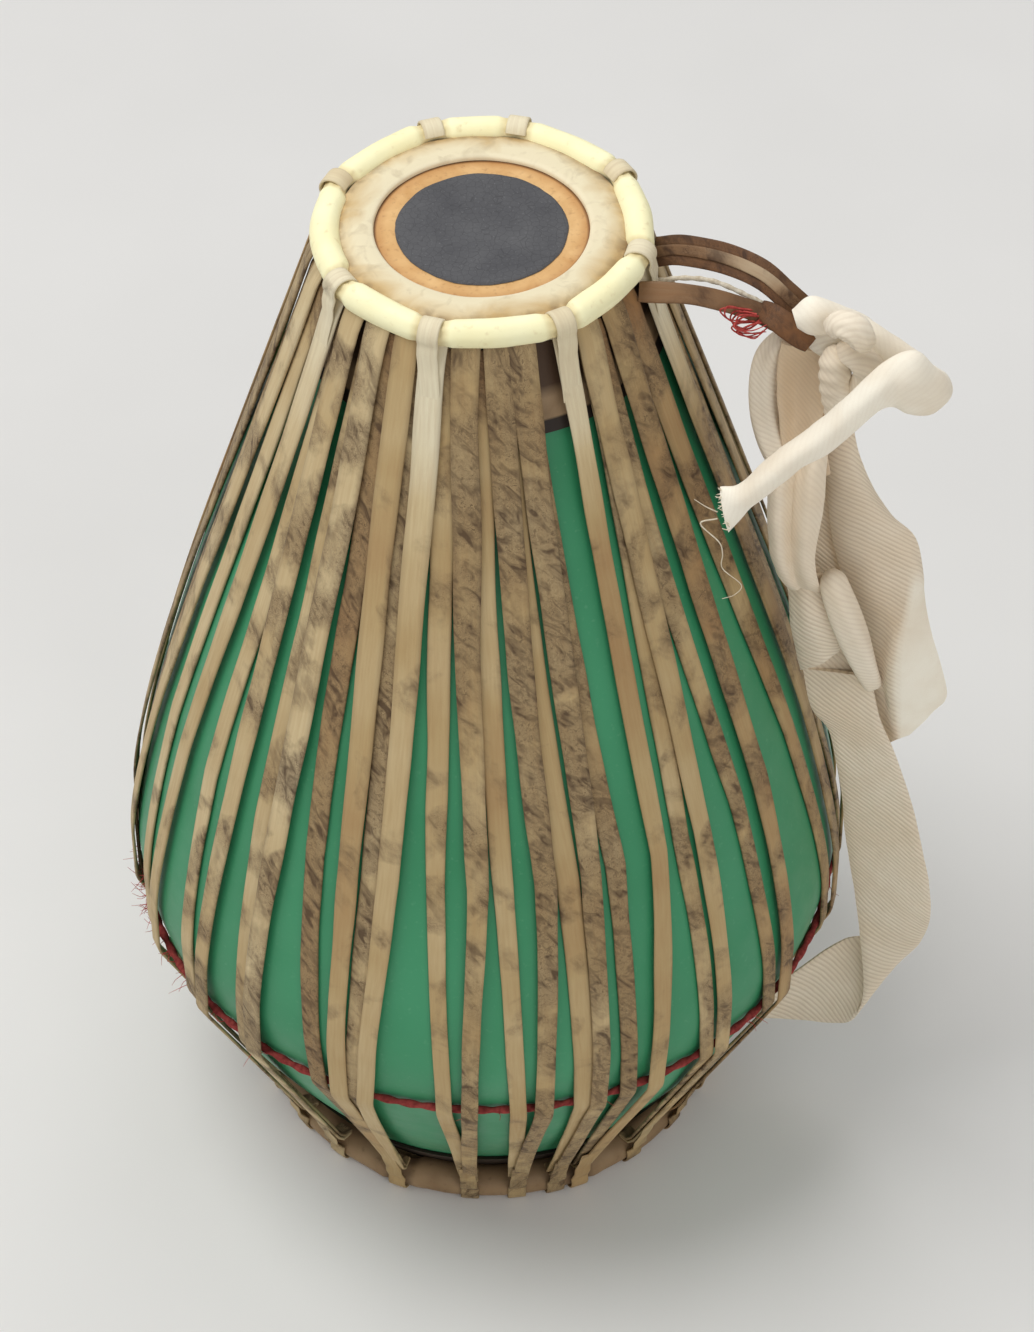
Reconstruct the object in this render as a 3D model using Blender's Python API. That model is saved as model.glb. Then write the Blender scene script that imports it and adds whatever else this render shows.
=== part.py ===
"""A laced barrel drum that stands on its large head, with its cotton carrying strap.

Metres, +Z up. The origin is on the drum's axis at the surface it stands on, and +X is the strap's side.
Bearings are degrees round the axis from +X towards +Y.
"""
import math

import bmesh
import bpy
from mathutils import Vector

# Fits
CLEARANCE = 0.0003
LAYER_GAP = 0.0005
SEAT = 0.0006

# Shell
SHELL_LENGTH = 0.5205
SHELL_WALL = 0.006
SMALL_RIM_RADIUS = 0.058
LARGE_RIM_RADIUS = 0.098
BELLY_RADIUS = 0.1695
BELLY_HEIGHT = 0.172
SMALL_FLARE = (0.057, 0.130)
LARGE_FLARE = (0.042, 0.0685)
BELLY_ROUND_ABOVE = 0.045
BELLY_ROUND_BELOW = 0.037
SHELL_SIDES = 56
SHELL_STEPS = 6

# Red cord round the belly
CORD_HEIGHT = 0.145
CORD_DIAMETER = 0.004
CORD_SIDES = 6

# Heads
SKIN = 0.0014
COLLAR = 0.0022
PATCH = 0.0010
HEAD_SIDES = 40
SMALL_SKIRT = 0.030
LARGE_SKIRT = 0.030
SMALL_COLLAR_INNER = 0.045
LARGE_COLLAR_INNER = 0.080
SMALL_PATCH_RADIUS = 0.036
LARGE_PATCH_RADIUS = 0.045
COLLAR_ROUND = 0.0035
SKIN_FACE_INSET = 0.010

# Edge rings and the lace wraps that pinch them
SMALL_RING_TUBE = 0.0072
LARGE_RING_TUBE = 0.0080
RING_DROP = 0.001
RING_SECTION_POINTS = 10
FOOT_FLAT = 0.0005
WRAP_WIDTH = 0.009
WRAP_SINK = 0.0008
WRAP_START = -72
WRAP_END = 150
WRAP_STEPS = 9
PINCH_RUN = 0.004
SMALL_WRAP_BEARINGS = (-148, -107, -62.5, -15, 31, 77, 109, 155)
LARGE_WRAP_BEARINGS = tuple(22.5 + 45 * turn for turn in range(8))

# Laces: bearings of the strands in view, then how many more go round the back
LACE_WIDTH = 0.011
LACE_END_WIDTH = 0.0075
LACE = 0.0015
LACE_TUCK = 0.0035
LACE_STAND_OUT = 0.003
LACE_FALL = 0.004
LACE_LEVEL = 0.280
LACE_PAIRING = 0.6
STRANDS_AT_BACK = 32
STRANDS_PER_LACE = 8
FOLD_STEPS = 4
TOP_BEARINGS = (
    -158, -148, -140.5, -138, -129, -126.3, -120.5, -115.2, -110, -105.5, -100.8, -95.2,
    -91.5, -84.9, -84, -76, -76.5, -61.7, -60, -51.8, -50, -40, -24, -15,
)
BELLY_BEARINGS = (
    -164, -155, -146.5, -139, -132, -128, -120.5, -114, -109.5, -106, -98, -91,
    -86.5, -79.5, -75.5, -71.5, -67, -59, -54, -49.5, -40.5, -34, -21.5, -14,
)

# Strap: the plane it hangs in, the line it swings on, and its cloth
STRAP_BEARING = -15
STRAP_CLOTH = 0.0024
SWING_DROP = 0.017
SWING_STAND = 0.054
SWING_TOWARD = 0.0013
THONG = 0.002
THONG_WIDTH = 0.007
STRING_DIAMETER = 0.0024
STRING_SIDES = 6
TIE_HEIGHT = 0.036
TIE_TOWARD = 0.0
KNOT_SIZE = (0.0145, 0.0150, 0.0150)
KNOT_STAND = 0.0739
KNOT_DROP = 0.018
KNOT_SIDES = 20
KNOT_RINGS = 12
KNOT_GROOVE = 0.07
LOOP_FOOT_DROP = 0.1735
HITCH_FOOT_DROP = 0.2235
CLOTH_SIDES = 20
CLOTH_PLEATS = 5
CLOTH_PLEAT_DEPTH = 0.09
TAIL_SIDES = 12
TAIL_LEAD = 0.007
CURVE_STEPS = 3

LARGE_RIM_Z = LARGE_RING_TUBE - FOOT_FLAT - RING_DROP
SMALL_RIM_Z = LARGE_RIM_Z + SHELL_LENGTH
LACE_STACK = CLEARANCE + 2 * LACE + LAYER_GAP
INNER_LAYER = CLEARANCE + LACE / 2
OUTER_LAYER = CLEARANCE + LACE + LAYER_GAP + LACE / 2
CORD_RADIUS = CORD_DIAMETER / 2

COLOURS = {
    "shell": ((0.045, 0.28, 0.13), 0.45),
    "skin": ((0.55, 0.33, 0.13), 0.6),
    "collar": ((0.66, 0.56, 0.40), 0.65),
    "patch": ((0.045, 0.045, 0.048), 0.8),
    "ring": ((0.90, 0.86, 0.62), 0.75),
    "foot_ring": ((0.40, 0.27, 0.16), 0.75),
    "lace": ((0.46, 0.35, 0.19), 0.65),
    "cord": ((0.32, 0.03, 0.03), 0.8),
    "thong": ((0.17, 0.10, 0.06), 0.6),
    "string": ((0.78, 0.74, 0.66), 0.85),
    "cotton": ((0.72, 0.65, 0.55), 0.9),
}


def clear_scene():
    for item in list(bpy.data.objects):
        bpy.data.objects.remove(item, do_unlink=True)


def material(name):
    colour, roughness = COLOURS[name]
    made = bpy.data.materials.get(name) or bpy.data.materials.new(name)
    made.use_nodes = True
    shader = made.node_tree.nodes["Principled BSDF"]
    shader.inputs["Base Color"].default_value = (*colour, 1.0)
    shader.inputs["Roughness"].default_value = roughness
    shader.inputs["Metallic"].default_value = 0.0
    return made


def empty(name, location=(0, 0, 0)):
    made = bpy.data.objects.new(name, None)
    made.location = location
    bpy.context.collection.objects.link(made)
    return made


def loft(name, sections, finish, parent, closed=False):
    """One closed body through like sections of points; its ends are capped unless it closes on itself."""
    shape = bmesh.new()
    origin = Vector(parent.location)
    rings = [[shape.verts.new(Vector(point) - origin) for point in section] for section in sections]
    joins = list(zip(rings, rings[1:]))
    if closed:
        joins.append((rings[-1], rings[0]))
    for near, far in joins:
        for here in range(len(near)):
            ahead = (here + 1) % len(near)
            shape.faces.new((near[here], near[ahead], far[ahead], far[here]))
    if not closed:
        shape.faces.new(rings[0][::-1])
        shape.faces.new(rings[-1])
    bmesh.ops.recalc_face_normals(shape, faces=shape.faces)
    mesh = bpy.data.meshes.new(name)
    shape.to_mesh(mesh)
    shape.free()
    mesh.shade_smooth()
    mesh.set_sharp_from_angle(angle=math.radians(40))
    mesh.materials.append(material(finish))
    made = bpy.data.objects.new(name, mesh)
    made.parent = parent
    bpy.context.collection.objects.link(made)
    return made


def polar(radius, bearing, height):
    angle = math.radians(bearing)
    return Vector((radius * math.cos(angle), radius * math.sin(angle), height))


def tangent(bearing):
    angle = math.radians(bearing)
    return Vector((-math.sin(angle), math.cos(angle), 0))


def circle(radius, height, sides):
    return [polar(radius, 360 * side / sides, height) for side in range(sides)]


def turned(name, profile, sides, finish, parent):
    """A solid of revolution from a profile that starts and ends on flat round faces."""
    return loft(name, [circle(r, z, sides) for r, z in profile], finish, parent)


def turned_ring(name, section, sides, finish, parent):
    """A solid of revolution from a closed section that stays off the axis."""
    turns = [360 * side / sides for side in range(sides)]
    return loft(name, [[polar(r, turn, z) for r, z in section] for turn in turns], finish, parent, True)


def bezier(start, handle, handle_in, end, steps):
    points = []
    for step in range(steps + 1):
        t = step / steps
        weights = ((1 - t) ** 3, 3 * t * (1 - t) ** 2, 3 * t * t * (1 - t), t ** 3)
        ends = (start, handle, handle_in, end)
        points.append(tuple(sum(w * p[axis] for w, p in zip(weights, ends)) for axis in range(2)))
    return points


def smooth_curve(points, steps=CURVE_STEPS):
    """A smooth curve through points of any dimension, as a denser list."""
    points = [Vector(point) for point in points]
    ends = [2 * points[0] - points[1]] + points + [2 * points[-1] - points[-2]]
    curve = []
    for a, b, c, d in zip(ends, ends[1:], ends[2:], ends[3:]):
        for step in range(steps):
            t = step / steps
            bend = (2 * a - 5 * b + 4 * c - d) * t * t + (3 * b - a - 3 * c + d) * t ** 3
            curve.append((2 * b + (c - a) * t + bend) / 2)
    return curve + [points[-1]]


def between(path, height):
    """Radius of a meridian path, which runs from top to bottom, at a height."""
    if height >= path[0][1]:
        return path[0][0]
    for (r0, z0), (r1, z1) in zip(path, path[1:]):
        if z0 >= height >= z1 and z0 > z1:
            return r0 + (r1 - r0) * (z0 - height) / (z0 - z1)
    return path[-1][0]


def offset(path, distance):
    """A meridian path moved out by a distance, with the outward direction at each of its points."""
    directions = []
    for (r0, z0), (r1, z1) in zip(path, path[1:]):
        length = math.hypot(r1 - r0, z1 - z0)
        directions.append(((z0 - z1) / length, (r1 - r0) / length))
    before = [directions[0]] + directions
    after = directions + [directions[-1]]
    moved = []
    for (r, z), a, b in zip(path, before, after):
        miter = 1 + a[0] * b[0] + a[1] * b[1]
        out = Vector((a[0] + b[0], a[1] + b[1])) / miter
        moved.append(((r + out.x * distance, z + out.y * distance), out.normalized()))
    return moved


# Shell and belly cord


def shell_outside():
    belly = (BELLY_RADIUS, BELLY_HEIGHT)
    small = (SMALL_RIM_RADIUS, SMALL_RIM_Z)
    large = (LARGE_RIM_RADIUS, LARGE_RIM_Z)
    upper = bezier(
        small,
        (SMALL_RIM_RADIUS + SMALL_FLARE[0], SMALL_RIM_Z - SMALL_FLARE[1]),
        (BELLY_RADIUS, BELLY_HEIGHT + BELLY_ROUND_ABOVE),
        belly,
        SHELL_STEPS,
    )
    lower = bezier(
        belly,
        (BELLY_RADIUS, BELLY_HEIGHT - BELLY_ROUND_BELOW),
        (LARGE_RIM_RADIUS + LARGE_FLARE[0], LARGE_RIM_Z + LARGE_FLARE[1]),
        large,
        SHELL_STEPS,
    )
    return upper + lower[1:]


SHELL_OUTSIDE = shell_outside()


def cord_centre():
    below = CORD_HEIGHT - CORD_RADIUS
    above = CORD_HEIGHT + CORD_RADIUS
    lean = (between(SHELL_OUTSIDE, above) - between(SHELL_OUTSIDE, below)) / CORD_DIAMETER
    reach = (CORD_RADIUS + CLEARANCE) * math.hypot(1, lean)
    return between(SHELL_OUTSIDE, CORD_HEIGHT) + reach, CORD_HEIGHT


def cord_section(points):
    radius, height = cord_centre()
    angles = [2 * math.pi * point / points for point in range(points)]
    return [(radius + CORD_RADIUS * math.cos(a), height + CORD_RADIUS * math.sin(a)) for a in angles]


def build_shell(parent):
    inside = [point for point, _ in offset(SHELL_OUTSIDE, -SHELL_WALL)]
    inside[0] = (inside[0][0], SMALL_RIM_Z)
    inside[-1] = (inside[-1][0], LARGE_RIM_Z)
    turned_ring("shell", SHELL_OUTSIDE + inside[::-1], SHELL_SIDES, "shell", parent)
    turned_ring("belly_cord", cord_section(CORD_SIDES), SHELL_SIDES, "cord", parent)


# Heads and edge rings


class End:
    """One end of the drum: its rim, which way is out, and the sizes of its head."""

    def __init__(self, name, rim, rim_z, out, flare, tube, skirt, collar_inner, patch, wraps, finish):
        self.name = name
        self.rim = rim
        self.rim_z = rim_z
        self.out = out
        self.lean = flare[0] / flare[1]
        self.stretch = math.hypot(1, self.lean)
        self.tube = tube
        self.skirt = skirt
        self.collar_inner = collar_inner
        self.patch = patch
        self.wraps = wraps
        self.finish = finish

    def height(self, outward):
        return self.rim_z + self.out * outward

    def skirt_outside(self, inward):
        wall = between(SHELL_OUTSIDE, self.height(-inward))
        return wall + (CLEARANCE + SKIN) * self.stretch

    def ring_radius(self):
        start = self.rim + (CLEARANCE + SKIN) * self.stretch
        return start + self.lean * RING_DROP + (self.tube + CLEARANCE) * self.stretch

    def pinch(self):
        return self.tube - LACE - CLEARANCE - WRAP_SINK

    def lace_anchor(self):
        """Where the laces lie under the edge ring: the tucked end, then the turn down the side."""
        tucked_in = RING_DROP + self.tube + CLEARANCE + LACE_STACK
        tucked = (self.skirt_outside(tucked_in) + LACE_TUCK, self.height(-tucked_in))
        turn_radius = self.ring_radius() + self.tube + LACE_STAND_OUT
        return tucked, (turn_radius, self.height(-tucked_in - LACE_FALL))


SMALL_END = End(
    "small", SMALL_RIM_RADIUS, SMALL_RIM_Z, 1, SMALL_FLARE, SMALL_RING_TUBE, SMALL_SKIRT,
    SMALL_COLLAR_INNER, SMALL_PATCH_RADIUS, SMALL_WRAP_BEARINGS, "ring",
)
LARGE_END = End(
    "large", LARGE_RIM_RADIUS, LARGE_RIM_Z, -1, LARGE_FLARE, LARGE_RING_TUBE, LARGE_SKIRT,
    LARGE_COLLAR_INNER, LARGE_PATCH_RADIUS, LARGE_WRAP_BEARINGS, "foot_ring",
)


def build_skin(end, parent):
    """The playing skin: a flat face over the rim, and a skirt that follows the shell's flare."""
    levels = [end.skirt * step / 4 for step in range(5)]
    skirt_inside = [
        (between(SHELL_OUTSIDE, end.height(-level)) + CLEARANCE * end.stretch, end.height(-level))
        for level in levels
    ]
    skirt_outside = [(end.skirt_outside(level), end.height(-level)) for level in levels]
    under = end.height(CLEARANCE)
    over = end.height(CLEARANCE + SKIN)
    face = end.rim - SKIN_FACE_INSET
    profile = [(face, under), (skirt_inside[0][0], under)] + skirt_inside[1:]
    profile += skirt_outside[::-1] + [(skirt_outside[0][0] - SKIN, over), (face, over)]
    turned(f"{end.name}_head_skin", profile, HEAD_SIDES, "skin", parent)


def build_collar(end, parent):
    """The ring of skin over the head's edge, puffed up in the middle and thin at its outer lip."""
    base = CLEARANCE + SKIN + CLEARANCE
    outer = end.rim + COLLAR_ROUND - CLEARANCE
    inner = end.collar_inner
    middle = (inner + outer) / 2
    section = [
        (inner, base),
        (inner, base + COLLAR * 0.6),
        (inner + COLLAR, base + COLLAR * 0.95),
        (middle, base + COLLAR),
        (outer - COLLAR_ROUND, base + COLLAR * 0.8),
        (outer, base + COLLAR * 0.3),
        (outer, base),
    ]
    profile = [(r, end.height(z)) for r, z in section]
    turned_ring(f"{end.name}_head_collar", profile, HEAD_SIDES, "collar", parent)


def build_patch(end, parent):
    """The black tuning patch, a low dome of paste in the middle of the skin."""
    base = CLEARANCE + SKIN + CLEARANCE
    steps = [(1.0, 0.0), (0.98, 0.45), (0.85, 0.8), (0.5, 1.0)]
    profile = [(end.patch * share, end.height(base + PATCH * rise)) for share, rise in steps]
    turned(f"{end.name}_head_patch", profile, HEAD_SIDES, "patch", parent)


def ring_columns(end):
    """Bearing and tube radius of each section of an edge ring: pinched at the wraps, full between."""
    radius = end.ring_radius()
    half = math.degrees((WRAP_WIDTH / 2 + 2 * CLEARANCE) / radius)
    run = math.degrees(PINCH_RUN / radius)
    swelling = end.pinch() + 0.75 * (end.tube - end.pinch())
    wraps = sorted(end.wraps)
    columns = []
    for here, ahead in zip(wraps, wraps[1:] + [wraps[0] + 360]):
        start = here + half + run
        full = ahead - half - run - start
        columns += [(here, end.pinch()), (here + half, end.pinch()), (start, swelling)]
        columns += [(start + full * share, end.tube) for share in (0.25, 0.5, 0.75)]
        columns += [(start + full, swelling), (ahead - half, end.pinch())]
    return columns


def build_ring(end, parent):
    centre_z = end.height(-RING_DROP)
    turns = [2 * math.pi * point / RING_SECTION_POINTS for point in range(RING_SECTION_POINTS)]
    sections = []
    for bearing, tube in ring_columns(end):
        section = []
        for turn in turns:
            height = max(0.0, centre_z + tube * math.sin(turn))
            section.append(polar(end.ring_radius() + tube * math.cos(turn), bearing, height))
        sections.append(section)
    loft(f"{end.name}_edge_ring", sections, end.finish, parent, True)


def build_wraps(end, parent):
    """Short strips of lace that go over the edge ring in its pinches."""
    centre_z = end.height(-RING_DROP)
    inner = end.pinch() + CLEARANCE
    for count, bearing in enumerate(sorted(end.wraps), 1):
        side = tangent(bearing) * WRAP_WIDTH / 2
        sections = []
        for step in range(WRAP_STEPS + 1):
            turn = math.radians(WRAP_START + (WRAP_END - WRAP_START) * step / WRAP_STEPS)
            faces = []
            for tube in (inner, inner + LACE):
                height = centre_z + end.out * tube * math.sin(turn)
                faces.append(polar(end.ring_radius() + tube * math.cos(turn), bearing, height))
            sections.append([faces[0] - side, faces[0] + side, faces[1] + side, faces[1] - side])
        loft(f"{end.name}_ring_wrap_{count}", sections, "lace", parent)


# Laces


def taut_path():
    """The meridian that a tight lace takes from end to end, over the shell and the belly cord."""
    small_tuck, small_turn = SMALL_END.lace_anchor()
    large_tuck, large_turn = LARGE_END.lace_anchor()
    supports = SHELL_OUTSIDE + cord_section(2 * CORD_SIDES)
    supports = [point for point in supports if small_turn[1] > point[1] > large_turn[1]]
    hull = []
    for point in [small_turn] + sorted(supports, key=lambda p: -p[1]) + [large_turn]:
        while len(hull) > 1:
            (r0, z0), (r1, z1) = hull[-2:]
            if r1 > r0 + (point[0] - r0) * (z0 - z1) / (z0 - point[1]):
                break
            hull.pop()
        hull.append(point)
    return [small_tuck] + hull + [large_tuck]


TAUT_PATH = taut_path()
LACE_OUTSIDE = [point for point, _ in offset(TAUT_PATH, LACE_STACK)][1:-1]


def lace_reach(height):
    return between(LACE_OUTSIDE, height)


def strand_bearings():
    """Bearings of every strand at the small head and at the belly, in order round the drum."""
    tops = list(TOP_BEARINGS)
    bellies = list(BELLY_BEARINGS)
    for bearings in (tops, bellies):
        first, last = bearings[0] + 360, bearings[-1]
        step = (first - last) / (STRANDS_AT_BACK + 1)
        bearings += [last + step * (count + 1) for count in range(STRANDS_AT_BACK)]
    # The first strand lies in the inner layer, so it closes the round after the last one.
    return tops[1:] + [tops[0] + 360], bellies[1:] + [bellies[0] + 360]


def partner_mean(bearings, strand, at_top):
    """Bearing of the fold that a strand shares with its neighbour at one end."""
    other = strand + 1 if (strand % 2 == 0) == at_top else strand - 1
    turn = 360 * (other // len(bearings))
    return (bearings[strand] + bearings[other % len(bearings)] + turn) / 2


def strand_sections(strand, tops, bellies):
    """Centre, bearing, face direction and width of a strand, from the small head down."""
    outer = strand % 2 == 0
    layer = OUTER_LAYER if outer else INNER_LAYER
    path = offset(TAUT_PATH, layer)
    top_fold = partner_mean(tops, strand, True)
    low_fold = partner_mean(bellies, strand, False)
    low_end = bellies[strand] + LACE_PAIRING * (low_fold - bellies[strand])
    top_z, low_z = path[1][0][1], path[-2][0][1]
    sections = []
    for place, ((radius, height), out) in enumerate(path):
        if height > LACE_LEVEL:
            share = (top_z - height) / (top_z - LACE_LEVEL)
            bearing = tops[strand] + (bellies[strand] - tops[strand]) * share
        else:
            share = (LACE_LEVEL - height) / (LACE_LEVEL - low_z)
            bearing = bellies[strand] + (low_end - bellies[strand]) * share
        width = LACE_WIDTH
        if place == 0:
            bearing, width = top_fold, LACE_END_WIDTH
        if place == len(path) - 1:
            bearing, width = low_fold, LACE_END_WIDTH
        sections.append((radius, height, bearing, out if outer else -out, width))
    return sections


def fold_sections(end_point, outward, tuck_in, bearing, from_outer):
    """The half turn that joins the two layers of a lace at one of its ends."""
    middle = (INNER_LAYER + OUTER_LAYER) / 2
    reach = (OUTER_LAYER - INNER_LAYER) / 2
    sections = []
    for step in range(1, FOLD_STEPS):
        turn = math.pi * step / FOLD_STEPS
        if not from_outer:
            turn = math.pi - turn
        face = outward * math.cos(turn) + tuck_in * math.sin(turn)
        centre = Vector(end_point) + outward * middle + face * reach
        sections.append((centre.x, centre.y, bearing, face, LACE_END_WIDTH))
    return sections


def lace_section(radius, height, bearing, face, width):
    centre = polar(radius, bearing, height)
    side = tangent(bearing) * width / 2
    thick = polar(face.x, bearing, face.y) * LACE / 2
    return [centre - side - thick, centre + side - thick, centre + side + thick, centre - side + thick]


def build_laces(parent):
    """Long laces that run up in the outer layer, fold over, and come down in the inner one."""
    tops, bellies = strand_bearings()
    normals = offset(TAUT_PATH, 0)
    top_in = (Vector(TAUT_PATH[0]) - Vector(TAUT_PATH[1])).normalized()
    low_in = (Vector(TAUT_PATH[-1]) - Vector(TAUT_PATH[-2])).normalized()
    for count in range(len(tops) // STRANDS_PER_LACE):
        run = []
        first = count * STRANDS_PER_LACE
        for strand in range(first, first + STRANDS_PER_LACE):
            sections = strand_sections(strand, tops, bellies)
            if strand % 2 == 0:
                run += sections[::-1]
                bearing = partner_mean(tops, strand, True)
                run += fold_sections(*normals[0], top_in, bearing, True)
            else:
                run += sections
                if strand < first + STRANDS_PER_LACE - 1:
                    bearing = partner_mean(bellies, strand, False)
                    run += fold_sections(*normals[-1], low_in, bearing, False)
        loft(f"lace_{count + 1}", [lace_section(*place) for place in run], "lace", parent)


# Strap and thongs, in the upright plane at the strap's bearing


def hang(stand, toward, drop):
    """A point by its distance out from the laces, towards the front, and its drop below the small rim."""
    height = SMALL_RIM_Z - drop
    return from_laces(stand, toward, height)


def from_laces(stand, toward, height):
    front = -tangent(STRAP_BEARING)
    return polar(lace_reach(height) + stand, STRAP_BEARING, height) + front * toward


def ribbon(name, rulings, thickness, finish, parent):
    """A flat strip between two edges, given as pairs of points along it."""
    lefts = smooth_curve([left for left, _ in rulings])
    rights = smooth_curve([right for _, right in rulings])
    sections = []
    for place, (left, right) in enumerate(zip(lefts, rights)):
        back, ahead = max(place - 1, 0), min(place + 1, len(lefts) - 1)
        along = (lefts[ahead] + rights[ahead]) - (lefts[back] + rights[back])
        normal = (right - left).cross(along).normalized() * thickness / 2
        sections.append([left - normal, right - normal, right + normal, left + normal])
    return loft(name, sections, finish, parent)


def rulings_along(points, width, across):
    """Pairs of edge points along a line, a width apart in one direction."""
    half = Vector(across).normalized() * width / 2
    return [(point - half, point + half) for point in points]


def tube(name, points, radii, finish, parent, sides):
    """A tube along a smooth curve, with a radius for each of its points."""
    line = smooth_curve([(*point, radius) for point, radius in zip(points, radii)])
    centres = [Vector(place[:3]) for place in line]
    sections = []
    for place, centre in enumerate(centres):
        back, ahead = max(place - 1, 0), min(place + 1, len(centres) - 1)
        along = (centres[ahead] - centres[back]).normalized()
        across = along.cross(Vector((0, 0, 1))).normalized()
        upward = across.cross(along)
        section = []
        for side in range(sides):
            turn = 2 * math.pi * side / sides
            spread = across * math.cos(turn) + upward * math.sin(turn)
            section.append(centre + spread * line[place][3])
        sections.append(section)
    return loft(name, sections, finish, parent)


def hung_cloth(name, levels, pleats, finish, parent):
    """Gathered cloth: rounded sections down a line, drawn into upright pleats."""
    out = polar(1, STRAP_BEARING, 0)
    front = -tangent(STRAP_BEARING)
    sections = []
    for level in smooth_curve(levels):
        stand, toward, drop, half_width, half_depth = level
        centre = hang(stand, toward, drop)
        section = []
        for side in range(CLOTH_SIDES):
            turn = 2 * math.pi * side / CLOTH_SIDES
            draw = 1 - CLOTH_PLEAT_DEPTH * (0.5 + 0.5 * math.cos(pleats * turn))
            spread = out * math.cos(turn) * half_width + front * math.sin(turn) * half_depth
            section.append(centre + spread * draw)
        sections.append(section)
    return loft(name, sections, finish, parent)


def build_thongs(parent):
    """Leather strips and a string from under the small edge ring to the strap's knot."""
    upper = [
        hang(-0.0086, -0.015, 0.0073), hang(0.003, -0.014, 0.003), hang(0.022, -0.010, 0.000),
        hang(0.039, -0.005, 0.001), hang(0.051, -0.002, 0.008), hang(0.0570, -0.001, 0.0135),
    ]
    lower = [
        hang(-0.0089, 0.0113, 0.0073), hang(0.010, 0.011, 0.0045), hang(0.024, 0.009, 0.0065),
        hang(0.039, 0.006, 0.012), hang(0.050, 0.003, 0.020), hang(0.0565, 0.001, 0.0235),
    ]
    string = [
        hang(-0.0038, -0.0014, 0.0105), hang(0.008, 0.000, 0.0055), hang(0.021, 0.001, 0.004),
        hang(0.036, 0.001, 0.009), hang(0.048, 0.0005, 0.015), hang(0.0586, 0.000, 0.018),
    ]
    across = -tangent(STRAP_BEARING) + Vector((0, 0, 0.55))
    ribbon("thong_upper", rulings_along(upper, THONG_WIDTH, across), THONG, "thong", parent)
    ribbon("thong_lower", rulings_along(lower, THONG_WIDTH, across), THONG, "thong", parent)
    radii = [STRING_DIAMETER / 2] * len(string)
    tube("thong_string", string, radii, "string", parent, STRING_SIDES)


def build_knot(parent):
    """The knotted lump of strap that the thongs carry, grooved where its turns cross."""
    out = polar(1, STRAP_BEARING, 0)
    front = -tangent(STRAP_BEARING)
    centre = hang(KNOT_STAND, 0, KNOT_DROP)
    sections = []
    for ring in range(KNOT_RINGS):
        lift = math.pi * (ring + 0.5) / KNOT_RINGS
        section = []
        for side in range(KNOT_SIDES):
            turn = 2 * math.pi * side / KNOT_SIDES
            groove = 1 - KNOT_GROOVE * (0.5 + 0.5 * math.cos(3 * turn + 2 * lift)) * math.sin(lift)
            spread = front * math.cos(turn) * KNOT_SIZE[1] + Vector((0, 0, math.sin(turn) * KNOT_SIZE[2]))
            point = spread * math.sin(lift) * groove - out * math.cos(lift) * KNOT_SIZE[0]
            section.append(centre + point)
        sections.append(section)
    loft("strap_knot", sections, "cotton", parent)


def build_tail(parent):
    """The strap's free end: out of the knot, over in a fold, and back as a roll."""
    points = [
        hang(KNOT_STAND + KNOT_SIZE[0] + SEAT, 0, KNOT_DROP),
        hang(KNOT_STAND + KNOT_SIZE[0] + SEAT + TAIL_LEAD, 0, KNOT_DROP),
        hang(0.104, 0.010, 0.030), hang(0.085, 0.030, 0.038), hang(0.056, 0.043, 0.051),
        hang(0.031, 0.053, 0.064), hang(0.009, 0.061, 0.070),
    ]
    radii = [0.0075, 0.0095, 0.0105, 0.0095, 0.008, 0.007, 0.0065]
    tube("strap_tail", points, radii, "cotton", parent, TAIL_SIDES)


def build_gathers(parent):
    """The doubled loop under the knot, and the hitch that binds it to the band."""
    loop_top = KNOT_DROP + KNOT_SIZE[2] * (1 - KNOT_GROOVE / 2) + SEAT
    loop = [
        (0.060, 0.000, loop_top, 0.014, 0.008), (0.045, 0.003, 0.064, 0.020, 0.010),
        (0.040, 0.003, 0.089, 0.018, 0.008), (0.029, 0.003, 0.107, 0.013, 0.008),
        (0.022, 0.002, 0.140, 0.0125, 0.008), (0.019, 0.001, 0.160, 0.0115, 0.008),
        (0.018, 0.000, LOOP_FOOT_DROP, 0.008, 0.006),
    ]
    hitch = [
        (0.021, 0.000, LOOP_FOOT_DROP + SEAT, 0.012, 0.007), (0.024, 0.001, 0.190, 0.0155, 0.010),
        (0.024, 0.001, 0.208, 0.0175, 0.010), (0.023, 0.000, HITCH_FOOT_DROP, 0.0155, 0.007),
    ]
    hung_cloth("strap_loop", loop, CLOTH_PLEATS, "cotton", parent)
    hung_cloth("strap_hitch", hitch, CLOTH_PLEATS, "cotton", parent)


def build_flap(parent):
    """The loose flat end that hangs outside the hitch and swings to the front at its foot."""
    rulings = [
        (hang(0.042, -0.012, 0.102), hang(0.066, -0.011, 0.118)),
        (hang(0.034, -0.012, 0.132), hang(0.070, -0.012, 0.134)),
        (hang(0.027, -0.0108, 0.167), hang(0.070, -0.012, 0.162)),
        (hang(0.028, -0.0104, 0.195), hang(0.070, -0.010, 0.195)),
        (hang(0.045, -0.003, 0.222), hang(0.071, 0.001, 0.218)),
        (hang(0.045, 0.006, 0.241), hang(0.066, 0.005, 0.232)),
        (hang(0.043, 0.007, 0.258), hang(0.047, 0.0075, 0.257)),
    ]
    ribbon("strap_flap", rulings, STRAP_CLOTH, "cotton", parent)


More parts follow.
